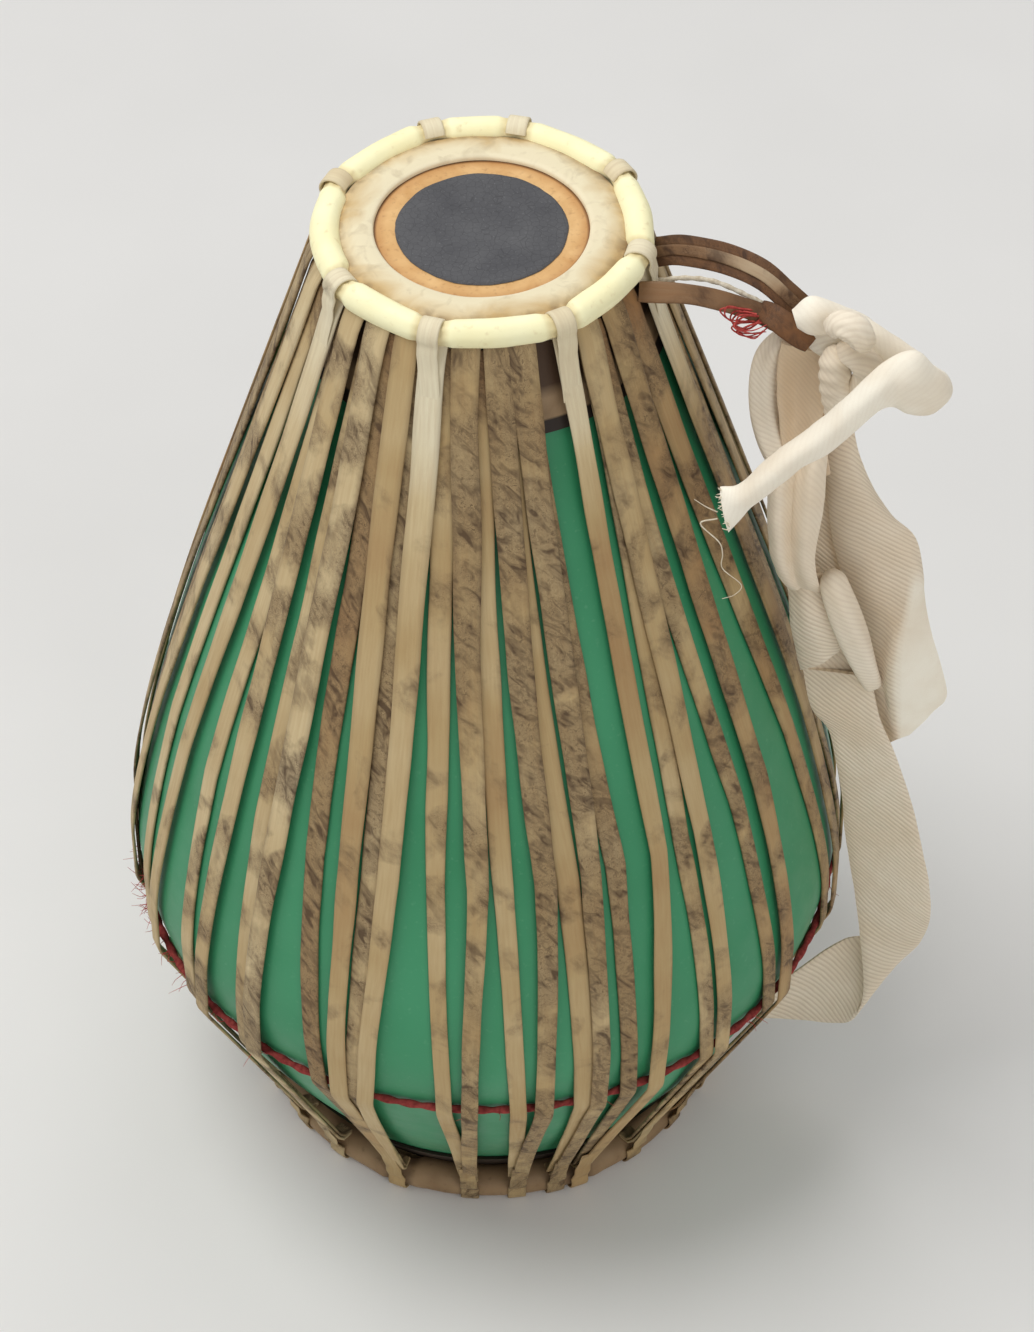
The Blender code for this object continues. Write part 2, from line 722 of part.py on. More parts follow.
def build_band(parent):
    """The long band from the hitch down past the belly, turned back under to its tie on the laces."""
    top = SMALL_RIM_Z - HITCH_FOOT_DROP - SEAT
    span = top - TIE_HEIGHT

    def low(stand, toward, share):
        return from_laces(stand, toward, top - span * share)

    seat = CLEARANCE + STRAP_CLOTH / 2
    rulings = [
        (low(0.007, 0.000, 0.000), low(0.040, 0.000, 0.000)),
        (low(0.008, 0.001, 0.092), low(0.042, 0.001, 0.090)),
        (low(0.010, 0.002, 0.202), low(0.044, 0.003, 0.200)),
        (low(0.010, 0.002, 0.309), low(0.046, 0.004, 0.281)),
        (low(0.010, 0.002, 0.406), low(0.046, 0.004, 0.402)),
        (low(0.011, 0.002, 0.494), low(0.047, 0.004, 0.500)),
        (low(0.014, 0.001, 0.580), low(0.050, 0.003, 0.590)),
        (low(0.036, -0.004, 0.725), low(0.050, 0.000, 0.660)),
        (low(0.052, -0.012, 0.835), low(0.047, -0.004, 0.720)),
        (low(0.054, -0.016, 0.905), low(0.034, -0.011, 0.762)),
        (low(0.039, -0.015, 0.935), low(0.019, -0.012, 0.800)),
        (low(0.018, -0.008, 0.970), low(0.009, -0.007, 0.890)),
        (low(seat + 0.002, TIE_TOWARD, 1.018), low(seat, TIE_TOWARD, 0.982)),
    ]
    ribbon("strap_band", rulings, STRAP_CLOTH, "cotton", parent)


def main():
    clear_scene()
    drum = empty("drum")
    swing = empty("strap_swing", hang(SWING_STAND, SWING_TOWARD, SWING_DROP))
    build_shell(drum)
    for end in (SMALL_END, LARGE_END):
        build_skin(end, drum)
        build_collar(end, drum)
        build_patch(end, drum)
        build_ring(end, drum)
        build_wraps(end, drum)
    build_laces(drum)
    build_thongs(drum)
    build_knot(swing)
    build_tail(swing)
    build_gathers(swing)
    build_flap(swing)
    build_band(swing)


main()
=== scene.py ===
"""The looks of a laced barrel drum with a cotton carrying strap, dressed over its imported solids.

Metres, +Z up, in the solids' own frame. Bearings are degrees round the drum's axis from +X towards +Y.
Places in the upright plane that the strap hangs in are in millimetres.
"""
import math
import random
from typing import NamedTuple

import bmesh
import bpy
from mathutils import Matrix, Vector, noise


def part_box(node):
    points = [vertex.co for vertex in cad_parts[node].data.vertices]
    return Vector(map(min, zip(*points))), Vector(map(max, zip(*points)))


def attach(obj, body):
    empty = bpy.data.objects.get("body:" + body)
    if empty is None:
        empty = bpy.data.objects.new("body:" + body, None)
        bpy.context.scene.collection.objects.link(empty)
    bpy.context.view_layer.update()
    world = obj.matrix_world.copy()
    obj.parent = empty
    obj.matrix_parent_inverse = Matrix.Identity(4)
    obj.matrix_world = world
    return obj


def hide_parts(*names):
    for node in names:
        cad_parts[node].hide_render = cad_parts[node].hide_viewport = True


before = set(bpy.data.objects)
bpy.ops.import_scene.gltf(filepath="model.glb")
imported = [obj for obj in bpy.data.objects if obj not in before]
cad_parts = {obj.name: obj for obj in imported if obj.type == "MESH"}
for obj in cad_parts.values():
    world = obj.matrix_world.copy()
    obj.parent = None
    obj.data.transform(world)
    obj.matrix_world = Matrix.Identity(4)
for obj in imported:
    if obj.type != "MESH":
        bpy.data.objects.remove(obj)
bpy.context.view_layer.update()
MM = 1000

# Camera, fitted to the photograph's frame
IMAGE_HEIGHT = 1332
FOCAL_PIXELS = 3600
SENSOR = 36.0
CAMERA_PLACE = (0.0163, -1.160, 1.489)
CAMERA_TILT = 43.4
CAMERA_SHIFT = 4 / IMAGE_HEIGHT

# Studio: each lamp's name, place, size and power
LAMPS = (
    ("key", (-0.9, 0.0, 2.4), 1.5, 30.0),
    ("fill", (0.9, -1.9, 1.3), 1.6, 9.0),
    ("back", (0.4, 1.8, 1.9), 1.4, 7.0),
)
LAMP_AIM = Vector((0, 0, 0.25))
WORLD_STRENGTH = 0.45
FLOOR_HALF = 30.0
FLOOR_TONES = ((0.78, 0.77, 0.75, 1), (0.82, 0.81, 0.79, 1))

# Meshes: the angle that stays sharp, the section of a flat strip by shares of its half sizes, thin threads
SHARP_ANGLE = math.radians(55)
STRIP_ACROSS = (-1.0, -0.94, -0.78, -0.4, 0.0, 0.4, 0.78, 0.94, 1.0)
STRIP_THICK = (0.35, 0.8, 1.0, 1.0, 1.0, 1.0, 1.0, 0.8, 0.35)
WOBBLE_SCALE = 70
THREAD_SIDES = 5
THREAD_STEPS = 6
THREAD_TAPER = 0.6

# Shell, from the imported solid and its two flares
SHELL_LOW, SHELL_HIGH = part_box("shell")
SMALL_RIM_Z = SHELL_HIGH.z
LARGE_RIM_Z = SHELL_LOW.z
BELLY_RADIUS = SHELL_HIGH.x
BELLY_HEIGHT = 0.172
SMALL_RIM_RADIUS = 0.058
LARGE_RIM_RADIUS = 0.098
SHELL_WALL = 0.006
SMALL_FLARE = (0.057, 0.130)
LARGE_FLARE = (0.042, 0.0685)
BELLY_ROUND_ABOVE = 0.045
BELLY_ROUND_BELOW = 0.037
SHELL_STEPS = 36
SHELL_SIDES = 180
CLEARANCE = 0.0003

# Belly cord: two plies, and loose fibres that crowd round one bearing, but for every third of them
CORD_HEIGHT = 0.145
CORD_RADIUS = 0.002
CORD_LAY = 0.011
CORD_PLY = 0.16
CORD_STEPS = 900
CORD_SIDES = 12
CORD_SUPPORTS = 16
FUZZ_COUNT = 120
FUZZ_BEARING, FUZZ_SPREAD = -166, 16
FUZZ_STRAY = 3
FUZZ_ROOT, FUZZ_RISE = 0.0015, 0.001
FUZZ_TURN, FUZZ_TILT = 50, (-0.9, 0.5)
FUZZ_REACH = (0.003, 0.008)
FUZZ_CURL = 0.5
FUZZ_STEPS = 3
FUZZ_THICK = 0.0004

# Heads: skin and skirt, then the collar and the patch with their sections by shares of width and thickness
SKIN = 0.0014
SKIN_SIDES = 120
SKIN_CORNER = 0.3
FACE_STEPS = 12
SKIRT_STEPS = 8
# Heights on the skirt: above the first it is darkened by painted shade under the edge ring, below the second
# it is darker
SKIRT_SHADE_ABOVE = SMALL_RIM_Z - 0.026
SKIRT_LOW_DARK = SMALL_RIM_Z - 0.039
SMALL_COLLAR_INNER = 0.045
COLLAR = 0.0026
COLLAR_OVERHANG = 0.0032
COLLAR_SIDES = 160
COLLAR_WOBBLE = 0.00035
COLLAR_RISES = (
    (0.0, 0.0), (0.0, 0.45), (0.03, 0.72), (0.09, 0.86), (0.2, 0.97), (0.36, 1.0), (0.55, 0.93), (0.74, 0.72),
    (0.9, 0.44), (1.0, 0.2), (1.0, 0.0),
)
PATCH = 0.0011
PATCH_SIDES = 120
PATCH_GRIT, PATCH_GRIT_SCALE = 0.00012, 220
# How ragged the patch's edge is: share of its radius, and the radius and the row of its noise
PATCH_RAGGED = ((0.010, 4, 1.5), (0.006, 14, 7))
PATCH_RISES = ((1.0, 0.0), (0.985, 0.5), (0.95, 0.72), (0.85, 0.86), (0.6, 0.96), (0.3, 1.0), (0.02, 1.0))

# Edge rings: straighter between their wraps, drawn in and creased at them
RING_STEPS = 400
RING_SIDES = 28
RING_CORNER = 0.0014
RING_STRAIGHT = 0.5
RING_DIP = 0.0010
RING_PINCH = 0.0012
PINCH_RUN = 0.005
RING_CREASE, RING_CREASE_SCALE = 0.0003, 30
RING_CREASES = 7
RING_CREASE_BEND = 3
RING_CREASE_LEAST = 0.15
RING_LUMP, RING_LUMP_SCALE = 0.0005, 48
FOOT_RISE = 0.0003

# Laces: two layers from head to head, folded over at both ends
LACE = 0.0015
LAYER_GAP = 0.0005
LACE_STACK = CLEARANCE + 2 * LACE + LAYER_GAP
INNER_LAYER = CLEARANCE + LACE / 2
OUTER_LAYER = CLEARANCE + LACE + LAYER_GAP + LACE / 2
LACE_TUCK = 0.0035
LACE_LEVEL = 0.280
LACE_PAIRING = 0.9
LACE_TOP_WIDTH = 0.0116
INNER_TOP_WIDTH = 0.0104
LACE_LOW_WIDTH = 0.0076
LACE_END_WIDTH = 0.0075
LACE_SPACING = 0.006
LACE_LAST_POINTS = 1.5
STRANDS_AT_BACK = 32
STRANDS_PER_LACE = 8
FOLD_STEPS = 6

# How far a strand wanders, swells and leans, each with the scales and the row of its noise
LACE_DRIFT, DRIFT_NOISE = 0.0011, (16, 90, 0.5)
LACE_SWELL, SWELL_NOISE = 0.10, (30, 70, 9.0)
LACE_LEAN, LEAN_NOISE = 0.05, (11, 40, 4.0)

# Each strand in view: bearing at the small head, bearing and width at the belly, tone, stain
STRANDS = (
    (-158, -164, 0.0095, 0.15, 0.3), (-148, -155, 0.0088, 0.30, 0.3),
    (-140.5, -146.5, 0.0088, 0.20, 0.5), (-138, -139, 0.0088, 0.25, 0.6),
    (-129, -132, 0.0088, 0.25, 0.6), (-126.3, -128, 0.0100, 0.10, 0.7),
    (-120.5, -120.5, 0.0088, 0.65, 1.0), (-115.2, -113.5, 0.0088, 0.50, 0.2),
    (-110, -109.5, 0.0084, 0.30, 0.9), (-105.5, -106, 0.0084, 0.30, 0.2),
    (-100.8, -98, 0.0074, 0.45, 0.5), (-95.2, -91, 0.0080, 0.45, 0.8),
    (-91.5, -86.5, 0.0080, 0.45, 0.3), (-84.9, -79.5, 0.0088, 0.40, 0.95),
    (-84, -75.5, 0.0100, 0.50, 0.3), (-76, -71.5, 0.0082, 0.40, 0.9),
    (-76.5, -67, 0.0082, 0.50, 1.0), (-61.7, -59, 0.0090, 0.55, 0.25),
    (-51.5, -54, 0.0080, 0.35, 0.8), (-51.8, -49.5, 0.0084, 0.40, 0.5),
    (-49, -40.5, 0.0084, 0.50, 0.9), (-39.5, -34, 0.0095, 0.62, 0.7),
    (-30.5, -20.5, 0.0095, 0.58, 0.6), (-16.5, -13, 0.0100, 0.60, 0.6),
)
# Strands that are narrower or wider than the others at the small head, by their place in that list
TOP_WIDTHS = {17: 0.0090, 21: 0.0128, 22: 0.0140, 23: 0.0140}
# Round the back: stray of the belly bearing, then the ranges of belly width, tone and stain
BACK_STRAY = 1.2
BACK_LOOKS = ((0.0078, 0.0098), (0.2, 0.8), (0.15, 1.0))
# Belly width, tone and stain of the last strands round the back, which show at the left
SIDE_LOOKS = ((0.0110, 0.30, 0.9), (0.0110, 0.30, 1.0), (0.0090, 0.15, 0.4))

# Wraps: turns about the ring in degrees, from where they start to where they leave it or end under it
WRAP_WIDTH = 0.009
WRAP_THICK = 0.0012
WRAP_STEPS = 25
WRAP_START, WRAP_LEAVE, WRAP_UNDER = 158, -24, -80
WRAP_NEAR = 3
JUST_PAST = 0.01
FOOT_STRIP_APART = 5.5
# The tab of a wrap that lies on the lace it runs on as
TAB_LENGTH = 0.025
TAB_STEPS = 5
TAB_TURN = 0.020
TAB_THINNING = 0.030
TAB_SINK, TAB_SINK_FROM = 0.0012, 0.012
TAB_LEAN = 0.3
TAB_TIP_THICK = 0.0003
TAB_TIP_WIDTHS = {"small": LACE_TOP_WIDTH - 0.003, "large": LACE_LOW_WIDTH}
# Strands are pale below a wrap, and those of the inner layer darkened by painted shade where they come out
# from under the ring
WRAP_TONE = -0.42
PALE_FROM = 0.010
PALE_RUN = 0.090
RING_SHADE_RUN = 0.040
RING_SHADE_TONE = 0.4

# Strap: the upright plane it hangs in, the way it faces, and its cloth
STRAP_BEARING = -15
FACING = Vector((-0.085, -0.732, 0.676))
CLOTH = 0.0022
CLOTH_EDGE = (0.4, 0.85, 1.0)
CRUMPLES = ((55, 1.0), (150, 0.5))
RIB_PITCH = 0.0032
RIB_SLANT = 0.9
ROLL_STEPS = 9
ROLL_SIDES = 32
ROLL_DEPTH = 0.8
ROLL_TIP = 0.3
ROLL_TWIST = 40
ROLL_RIBBED = 0.45
# Rows across a curled strip and a pleated one: share of the way across, and share of the bulge there
CURL = ((0.0, 0.0), (0.15, 0.62), (0.5, 1.0), (0.85, 0.62), (1.0, 0.0))
PLEATS = ((0.0, 0.0), (0.2, 1.0), (0.45, -0.2), (0.72, 0.9), (1.0, 0.0))
BAND_ROW = (0, 0.33, 0.67, 1)
# The flap's turned corner, painted lighter to stand in for light on it, by shares of its length and width
CORNER_ALONG, CORNER_ACROSS, CORNER_RUN = 0.44, 0.62, 0.08
# The frayed end of the tail, from its top corner to its low one, and its two longest threads
FRAY_COUNT = 24
FRAY_TOP, FRAY_LOW = Vector((107, 406, 60)), Vector((112, 383, 65))
FRAY_REACH = ((-1, -4), (-3, 2), (-2, 3))
FRAY_BEND = 1
FRAY_STEPS = 3
FRAY_THICK = 0.0007
TAIL_THREADS = (
    ((105.8, 392, 60), (100.4, 394, 62), (95.3, 397, 62)),
    ((106, 388, 61), (98.5, 383, 62), (107.2, 374, 62), (109.2, 367, 61), (109.5, 358, 61),
     (118.4, 350, 60), (115.7, 343, 60), (110.2, 339, 60)),
)

# Thongs and string
THONG_THICK = 0.0014
THONG_STAND = 0.006
THONG_SWELL, THONG_NOISE = 0.12, (60, 50, 3.0)
THONG_STEPS = 8
STRING_RADIUS = 0.0012
STRING_PLY = 0.14
STRING_TWIST = 70
STRING_SIDES = 12
# Routes in millimetres: out from the laces, towards the front, and down from the small rim
UPPER_ROUTE = ((-8.6, -15, 7.3), (3, -14, 3), (22, -10, 0), (39, -5, 1), (51, -2, 8), (57, -1, 13.5))
LOWER_ROUTE = ((-8.9, 11.3, 7.3), (10, 11, 4.5), (24, 9, 6.5), (39, 6, 12), (50, 3, 20), (56.5, 1, 23.5))
STRING_ROUTE = ((-3.8, -1.4, 10.5), (8, 0, 5.5), (21, 1, 4), (36, 1, 9), (48, 0.5, 15), (58.6, 0, 18))
# Each thong: its route, how far it is set off across and out, its width, tint and the node it stands for
THONGS = (
    ("thong_upper_1", UPPER_ROUTE, 0.0042, -0.0006, 0.0044, (0.60, 0.9, 0.1), None),
    ("thong_upper_2", UPPER_ROUTE, 0.0, 0.0004, 0.0048, (0.00, 0.8, 0.5), "thong_upper"),
    ("thong_upper_3", UPPER_ROUTE, -0.0042, -0.0006, 0.0046, (0.65, 1.0, 0.3), None),
    ("thong_lower_1", LOWER_ROUTE, 0.0, 0.0, 0.0085, (0.30, 0.5, 0.8), "thong_lower"),
)
THONG_END_LOOK = {"shift": 0.0, "lift": 0.001, "width": 0.0106, "tint": (0.85, 0.9, 0.9), "taper": 0.35}
# Places in the strap's plane: the lower thong's brown end, and loops of red thread
THONG_END = (
    (119, 512.5, 3), (125.3, 508.8, 8), (133.5, 503, 11), (141, 497, 11),
)
THREAD_LOOPS = (
    ((116, 510, 6), (107, 511, 12), (103, 506, 13), (108, 502, 13), (118, 504, 10)),
    ((118, 509, 6), (112, 506, 14), (110, 499, 16), (117, 498, 15), (124, 503, 10)),
    ((120, 506, 6), (113, 503, 10), (107, 500, 11), (113, 496, 12), (121, 500, 10)),
    ((119, 508, 7), (110, 508, 10), (108, 502, 11), (113, 500, 12), (119, 505, 9)),
    ((121, 505, 8), (115, 501, 12), (110, 497, 13), (117, 496, 14), (122, 501, 11)),
)
THREAD_STRAY = 1.4
THREAD_THICK = 0.0011


# Shapes


def polar(radius, bearing, height):
    angle = math.radians(bearing)
    return Vector((radius * math.cos(angle), radius * math.sin(angle), height))


def tangent(bearing):
    angle = math.radians(bearing)
    return Vector((-math.sin(angle), math.cos(angle), 0))


def turn_between(a, b):
    """The smaller turn from one bearing to another."""
    return (b - a + 180) % 360 - 180


def turns(count):
    return [2 * math.pi * step / count for step in range(count)]


def mix(a, b, share):
    return a + (b - a) * share


def ease(share):
    share = min(max(share, 0.0), 1.0)
    return share * share * (3 - 2 * share)


def uneven(far, seed, scales):
    """Noise along a line, in a row of its own for each seed."""
    return noise.noise(Vector((far * scales[0], seed * scales[1], scales[2])))


def bezier(start, handle, handle_in, end, steps):
    made = []
    for step in range(steps + 1):
        t = step / steps
        weights = ((1 - t) ** 3, 3 * t * (1 - t) ** 2, 3 * t * t * (1 - t), t ** 3)
        ends = (start, handle, handle_in, end)
        made.append(tuple(sum(w * p[axis] for w, p in zip(weights, ends)) for axis in range(2)))
    return made


def smooth(points, steps):
    """A smooth curve through points of any dimension, as a denser list."""
    points = [Vector(point) for point in points]
    ends = [2 * points[0] - points[1]] + points + [2 * points[-1] - points[-2]]
    curve = []
    for a, b, c, d in zip(ends, ends[1:], ends[2:], ends[3:]):
        for step in range(steps):
            t = step / steps
            bend = (2 * a - 5 * b + 4 * c - d) * t * t + (3 * b - a - 3 * c + d) * t ** 3
            curve.append((2 * b + (c - a) * t + bend) / 2)
    return curve + [points[-1]]


def spaced(path, spacing):
    """The same path with points about a spacing apart, its corners slightly eased."""
    path = [Vector(point) for point in path]
    made = []
    for a, b in zip(path, path[1:]):
        count = max(1, round((b - a).length / spacing))
        made += [a.lerp(b, step / count) for step in range(count)]
    made.append(path[-1])
    inner = [(a + 2 * b + c) / 4 for a, b, c in zip(made, made[1:], made[2:])]
    return [made[0]] + inner + [made[-1]]


def between(path, height):
    """Radius of a meridian path, which runs from top to bottom, at a height."""
    if height >= path[0][1]:
        return path[0][0]
    for (r0, z0), (r1, z1) in zip(path, path[1:]):
        if z0 >= height >= z1 and z0 > z1:
            return r0 + (r1 - r0) * (z0 - height) / (z0 - z1)
    return path[-1][0]


def offset(path, distance):
    """A meridian path moved out by a distance, with the outward direction at each of its points."""
    directions = []
    for (r0, z0), (r1, z1) in zip(path, path[1:]):
        length = math.hypot(r1 - r0, z1 - z0)
        directions.append(((z0 - z1) / length, (r1 - r0) / length))
    moved = []
    for (r, z), a, b in zip(path, [directions[0]] + directions, directions + [directions[-1]]):
        out = Vector((a[0] + b[0], a[1] + b[1])) / (1 + a[0] * b[0] + a[1] * b[1])
        moved.append((Vector((r + out.x * distance, z + out.y * distance)), out.normalized()))
    return moved


def lengths(points):
    """How far along a line each of its points lies."""
    made = [0.0]
    for a, b in zip(points, points[1:]):
        made.append(made[-1] + (b - a).length)
    return made


def frames(line, wide=None):
    """Two directions across a line at each of its points, the first towards wide where that is given."""
    ahead = [(b - a).normalized() for a, b in zip(line, line[2:])]
    ahead = [(line[1] - line[0]).normalized()] + ahead + [(line[-1] - line[-2]).normalized()]
    across = wide or ahead[0].orthogonal()
    made = []
    for direction in ahead:
        start = wide or across
        across = (start - direction * start.dot(direction)).normalized()
        made.append((across, direction.cross(across)))
    return made


# Meshes. A look is a material, the body that its pieces ride on, and a slot name, which is not used


def piece(name, points, faces, look, uv=None, tint=None, node=None):
    """A smooth mesh with its look, its strip coordinates and its tint, and the node that it stands for."""
    finish, rides, slot = look
    mesh = bpy.data.meshes.new(name)
    mesh.from_pydata(points, [], faces)
    shape = bmesh.new()
    shape.from_mesh(mesh)
    bmesh.ops.recalc_face_normals(shape, faces=shape.faces)
    shape.to_mesh(mesh)
    shape.free()
    mesh.shade_smooth()
    mesh.set_sharp_from_angle(angle=SHARP_ANGLE)
    if uv:
        layer = mesh.uv_layers.new(name="strip")
        for loop in mesh.loops:
            layer.data[loop.index].uv = uv[loop.vertex_index]
    if tint:
        colours = mesh.color_attributes.new("tint", "FLOAT_COLOR", "POINT")
        colours.data.foreach_set("color", [part for colour in tint for part in (*colour, 1.0)])
    mesh.materials.append(finish)
    made = bpy.data.objects.new(name, mesh)
    bpy.context.scene.collection.objects.link(made)
    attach(made, rides)
    if node:
        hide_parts(node)
    return made


def tube_faces(count, size, closed=False, start=0):
    """Faces through rings of points: the sides, and a cap at each end unless they close on themselves."""
    faces = []
    for here in range(count if closed else count - 1):
        there = (here + 1) % count
        for side in range(size):
            ahead = (side + 1) % size
            faces.append((here * size + side, here * size + ahead, there * size + ahead, there * size + side))
    if not closed:
        faces.append(tuple(reversed(range(size))))
        faces.append(tuple(range((count - 1) * size, count * size)))
    return [[start + corner for corner in face] for face in faces]


def body(name, rings, look, uv=None, tint=None, node=None, closed=False):
    """One closed body through rings of points."""
    points = [point for ring in rings for point in ring]
    return piece(name, points, tube_faces(len(rings), len(rings[0]), closed), look, uv, tint, node)


def turned(name, section, sides, look, node, wobble=0.0):
    """A closed section turned about the axis, made slightly uneven."""
    rings = []
    for side in range(sides):
        points = [polar(radius, 360 * side / sides, height) for radius, height in section]
        rings.append([point + Vector((0, 0, wobble * noise.noise(point * WOBBLE_SCALE))) for point in points])
    body(name, rings, look, node=node, closed=True)


def strip_ring(centre, side, up, width, thickness):
    """One section of a flat strip with rounded edges."""
    over, under = [], []
    for share, thick in zip(STRIP_ACROSS, STRIP_THICK):
        middle = centre + side * (width / 2 * share)
        over.append(middle + up * (thickness / 2 * thick))
        under.append(middle - up * (thickness / 2 * thick))
    return over + under[::-1]


def strip_uv(along, widths):
    shares = STRIP_ACROSS + STRIP_ACROSS[::-1]
    return [(far, width / 2 * share) for far, width in zip(along, widths) for share in shares]


def strip(name, line, ups, widths, thicks, look, tints, start=0.0, node=None):
    """A flat strip along a line: at each point the way it faces, its width, thickness and tint."""
    along = [start + far for far in lengths(line)]
    rings, colours = [], []
    for place, (centre, up) in enumerate(zip(line, ups)):
        back, ahead = line[max(place - 1, 0)], line[min(place + 1, len(line) - 1)]
        side = (ahead - back).cross(up).normalized()
        up = side.cross(ahead - back).normalized()
        rings.append(strip_ring(centre, side, up, widths[place], thicks[place]))
        colours += [tints[place]] * len(rings[-1])
    return body(name, rings, look, strip_uv(along, widths), colours, node)


def tube_rings(line, radius, sides):
    """Rings round a line; radius gives their size at a share of the line and a turn."""
    along = lengths(line)
    rings = []
    for far, centre, (across, over) in zip(along, line, frames(line)):
        ring = []
        for turn in turns(sides):
            reach = radius(far / along[-1], turn)
            ring.append(centre + across * (reach * math.cos(turn)) + over * (reach * math.sin(turn)))
        rings.append(ring)
    return rings


def threads(name, lines, thickness, look):
    """Many fine threads as one piece, each a thin tube that narrows to its tip."""
    points, faces = [], []
    for line in lines:
        rings = tube_rings(line, lambda share, _: thickness / 2 * (1 - THREAD_TAPER * share), THREAD_SIDES)
        faces += tube_faces(len(rings), THREAD_SIDES, start=len(points))
        points += [point for ring in rings for point in ring]
    piece(name, points, faces, look)


# Finishes


def srgb(red, green, blue):
    parts = [part / 255 for part in (red, green, blue)]
    return (*[p / 12.92 if p <= 0.04045 else ((p + 0.055) / 1.055) ** 2.4 for p in parts], 1.0)


class Finish:
    """A procedural material: its shader, and short ways to add nodes to it."""

    def __init__(self, name, specular):
        self.material = bpy.data.materials.new(name)
        self.material.use_nodes = True
        self.tree = self.material.node_tree
        self.shader = self.tree.nodes["Principled BSDF"]
        self.shader.inputs["Specular IOR Level"].default_value = specular
        self.place = self.add("TexCoord").outputs["Object"]

    def add(self, kind, settings=None, **sockets):
        node = self.tree.nodes.new("ShaderNode" + kind)
        for key, value in (settings or {}).items():
            setattr(node, key, value)
        for key, value in sockets.items():
            self.put(node.inputs[key.replace("_", " ")], value)
        return node

    def put(self, socket, value):
        if isinstance(value, bpy.types.NodeSocket):
            self.tree.links.new(value, socket)
        else:
            socket.default_value = value

    def strip(self):
        return self.add("UVMap", {"uv_map": "strip"}).outputs["UV"]

    def tint(self):
        node = self.add("Attribute", {"attribute_name": "tint"})
        return self.add("SeparateColor", Color=node.outputs["Color"]).outputs

    def parts(self, vector):
        return self.add("SeparateXYZ", Vector=vector).outputs

    def join(self, x, y, z):
        return self.add("CombineXYZ", X=x, Y=y, Z=z).outputs["Vector"]

    def scaled(self, vector, scale):
        return self.add("Mapping", Vector=vector, Scale=scale).outputs["Vector"]

    def noise(self, vector, scale, detail, distortion=0.0):
        node = self.add("TexNoise", Vector=vector, Scale=scale, Detail=detail, Distortion=distortion)
        return node.outputs["Fac"]

    def cracks(self, vector, scale):
        node = self.add("TexVoronoi", {"feature": "DISTANCE_TO_EDGE"}, Vector=vector, Scale=scale)
        return node.outputs["Distance"]

    def math(self, operation, a, b=0.0):
        node = self.add("Math", {"operation": operation})
        self.put(node.inputs[0], a)
        self.put(node.inputs[1], b)
        return node.outputs["Value"]

    def plus(self, a, b):
        return self.math("ADD", a, b)

    def times(self, a, b):
        return self.math("MULTIPLY", a, b)

    def off_axis(self):
        """Distance from the drum's axis."""
        x, y, _ = self.parts(self.place)
        return self.math("SQRT", self.plus(self.times(x, x), self.times(y, y)))

    def ramp(self, value, low, high, start=0.0, end=1.0):
        node = self.add("MapRange", Value=value, From_Min=low, From_Max=high, To_Min=start, To_Max=end)
        return node.outputs["Result"]

    def blend(self, share, a, b):
        node = self.add("Mix", {"data_type": "RGBA"})
        self.put(node.inputs[0], share)
        self.put(node.inputs[6], a)
        self.put(node.inputs[7], b)
        return node.outputs[2]

    def fade(self, value, low, high, a, b, most=1.0):
        """From one colour towards another as a value rises, by the most at its high end."""
        return self.blend(self.ramp(value, low, high, 0.0, most), a, b)

    def bump(self, height, strength, distance, under=None):
        node = self.add("Bump", Height=height, Strength=strength, Distance=distance)
        if under:
            self.put(node.inputs["Normal"], under)
        return node.outputs["Normal"]

    def end(self, colour, roughness, normal=None):
        self.put(self.shader.inputs["Base Color"], colour)
        self.put(self.shader.inputs["Roughness"], roughness)
        if normal:
            self.put(self.shader.inputs["Normal"], normal)
        return self.material


def shell_finish():
    """Green moulded shell: slightly cloudy, with a fine uneven gloss."""
    look = Finish("shell_green", 0.4)
    cloud = look.noise(look.place, 9, 3)
    grain = look.noise(look.place, 420, 3)
    colour = look.fade(cloud, 0.35, 0.65, srgb(50, 137, 92), srgb(62, 150, 105))
    colour = look.fade(grain, 0.62, 0.8, colour, srgb(120, 180, 145), 0.25)
    rough = look.ramp(look.noise(look.place, 60, 4), 0.3, 0.7, 0.36, 0.52)
    return look.end(colour, rough, look.bump(look.noise(look.place, 160, 2), 0.12, 0.0004))


def hide_finish(name, tones):
    """Hide strips: three tones by strand, a marbling of strokes, veins and flecks, and darker edges."""
    look = Finish(name, 0.25)
    pale, middle, brown, dusk, dark = [srgb(*tone) for tone in tones]
    along, across, _ = look.parts(look.strip())
    tone, stain, seed = look.tint()[:3]
    place = look.join(along, across, look.times(seed, 7.0))
    drift = look.plus(tone, look.ramp(look.noise(place, 16, 3), 0.3, 0.7, -0.22, 0.22))
    colour = look.fade(drift, 0.0, 0.5, pale, middle)
    colour = look.fade(drift, 0.5, 1.0, colour, brown)
    colour = look.blend(look.ramp(drift, -0.5, 0.0, 1.0, 0.0), colour, srgb(232, 222, 192))
    fibre = look.noise(look.scaled(place, (60, 900, 9)), 1.0, 3)
    colour = look.fade(fibre, 0.35, 0.7, colour, brown, 0.18)
    cloud = look.noise(place, 34, 5, 0.5)
    reach = look.ramp(stain, 0.0, 1.0, 0.63, 0.31)
    region = look.ramp(look.math("SUBTRACT", cloud, reach), 0.0, 0.16)
    colour = look.blend(look.times(region, 0.45), colour, dusk)
    colour = look.blend(look.times(look.times(hide_marks(look, place), region), 0.85), colour, dark)
    # Darker towards each strip's edges
    colour = look.fade(look.math("ABSOLUTE", across), 0.0032, 0.0054, colour, dark, 0.22)
    rough = look.ramp(fibre, 0.2, 0.8, 0.52, 0.74)
    grain = look.bump(look.noise(place, 520, 4), 0.35, 0.0003)
    return look.end(colour, rough, look.bump(fibre, 0.3, 0.0004, grain))


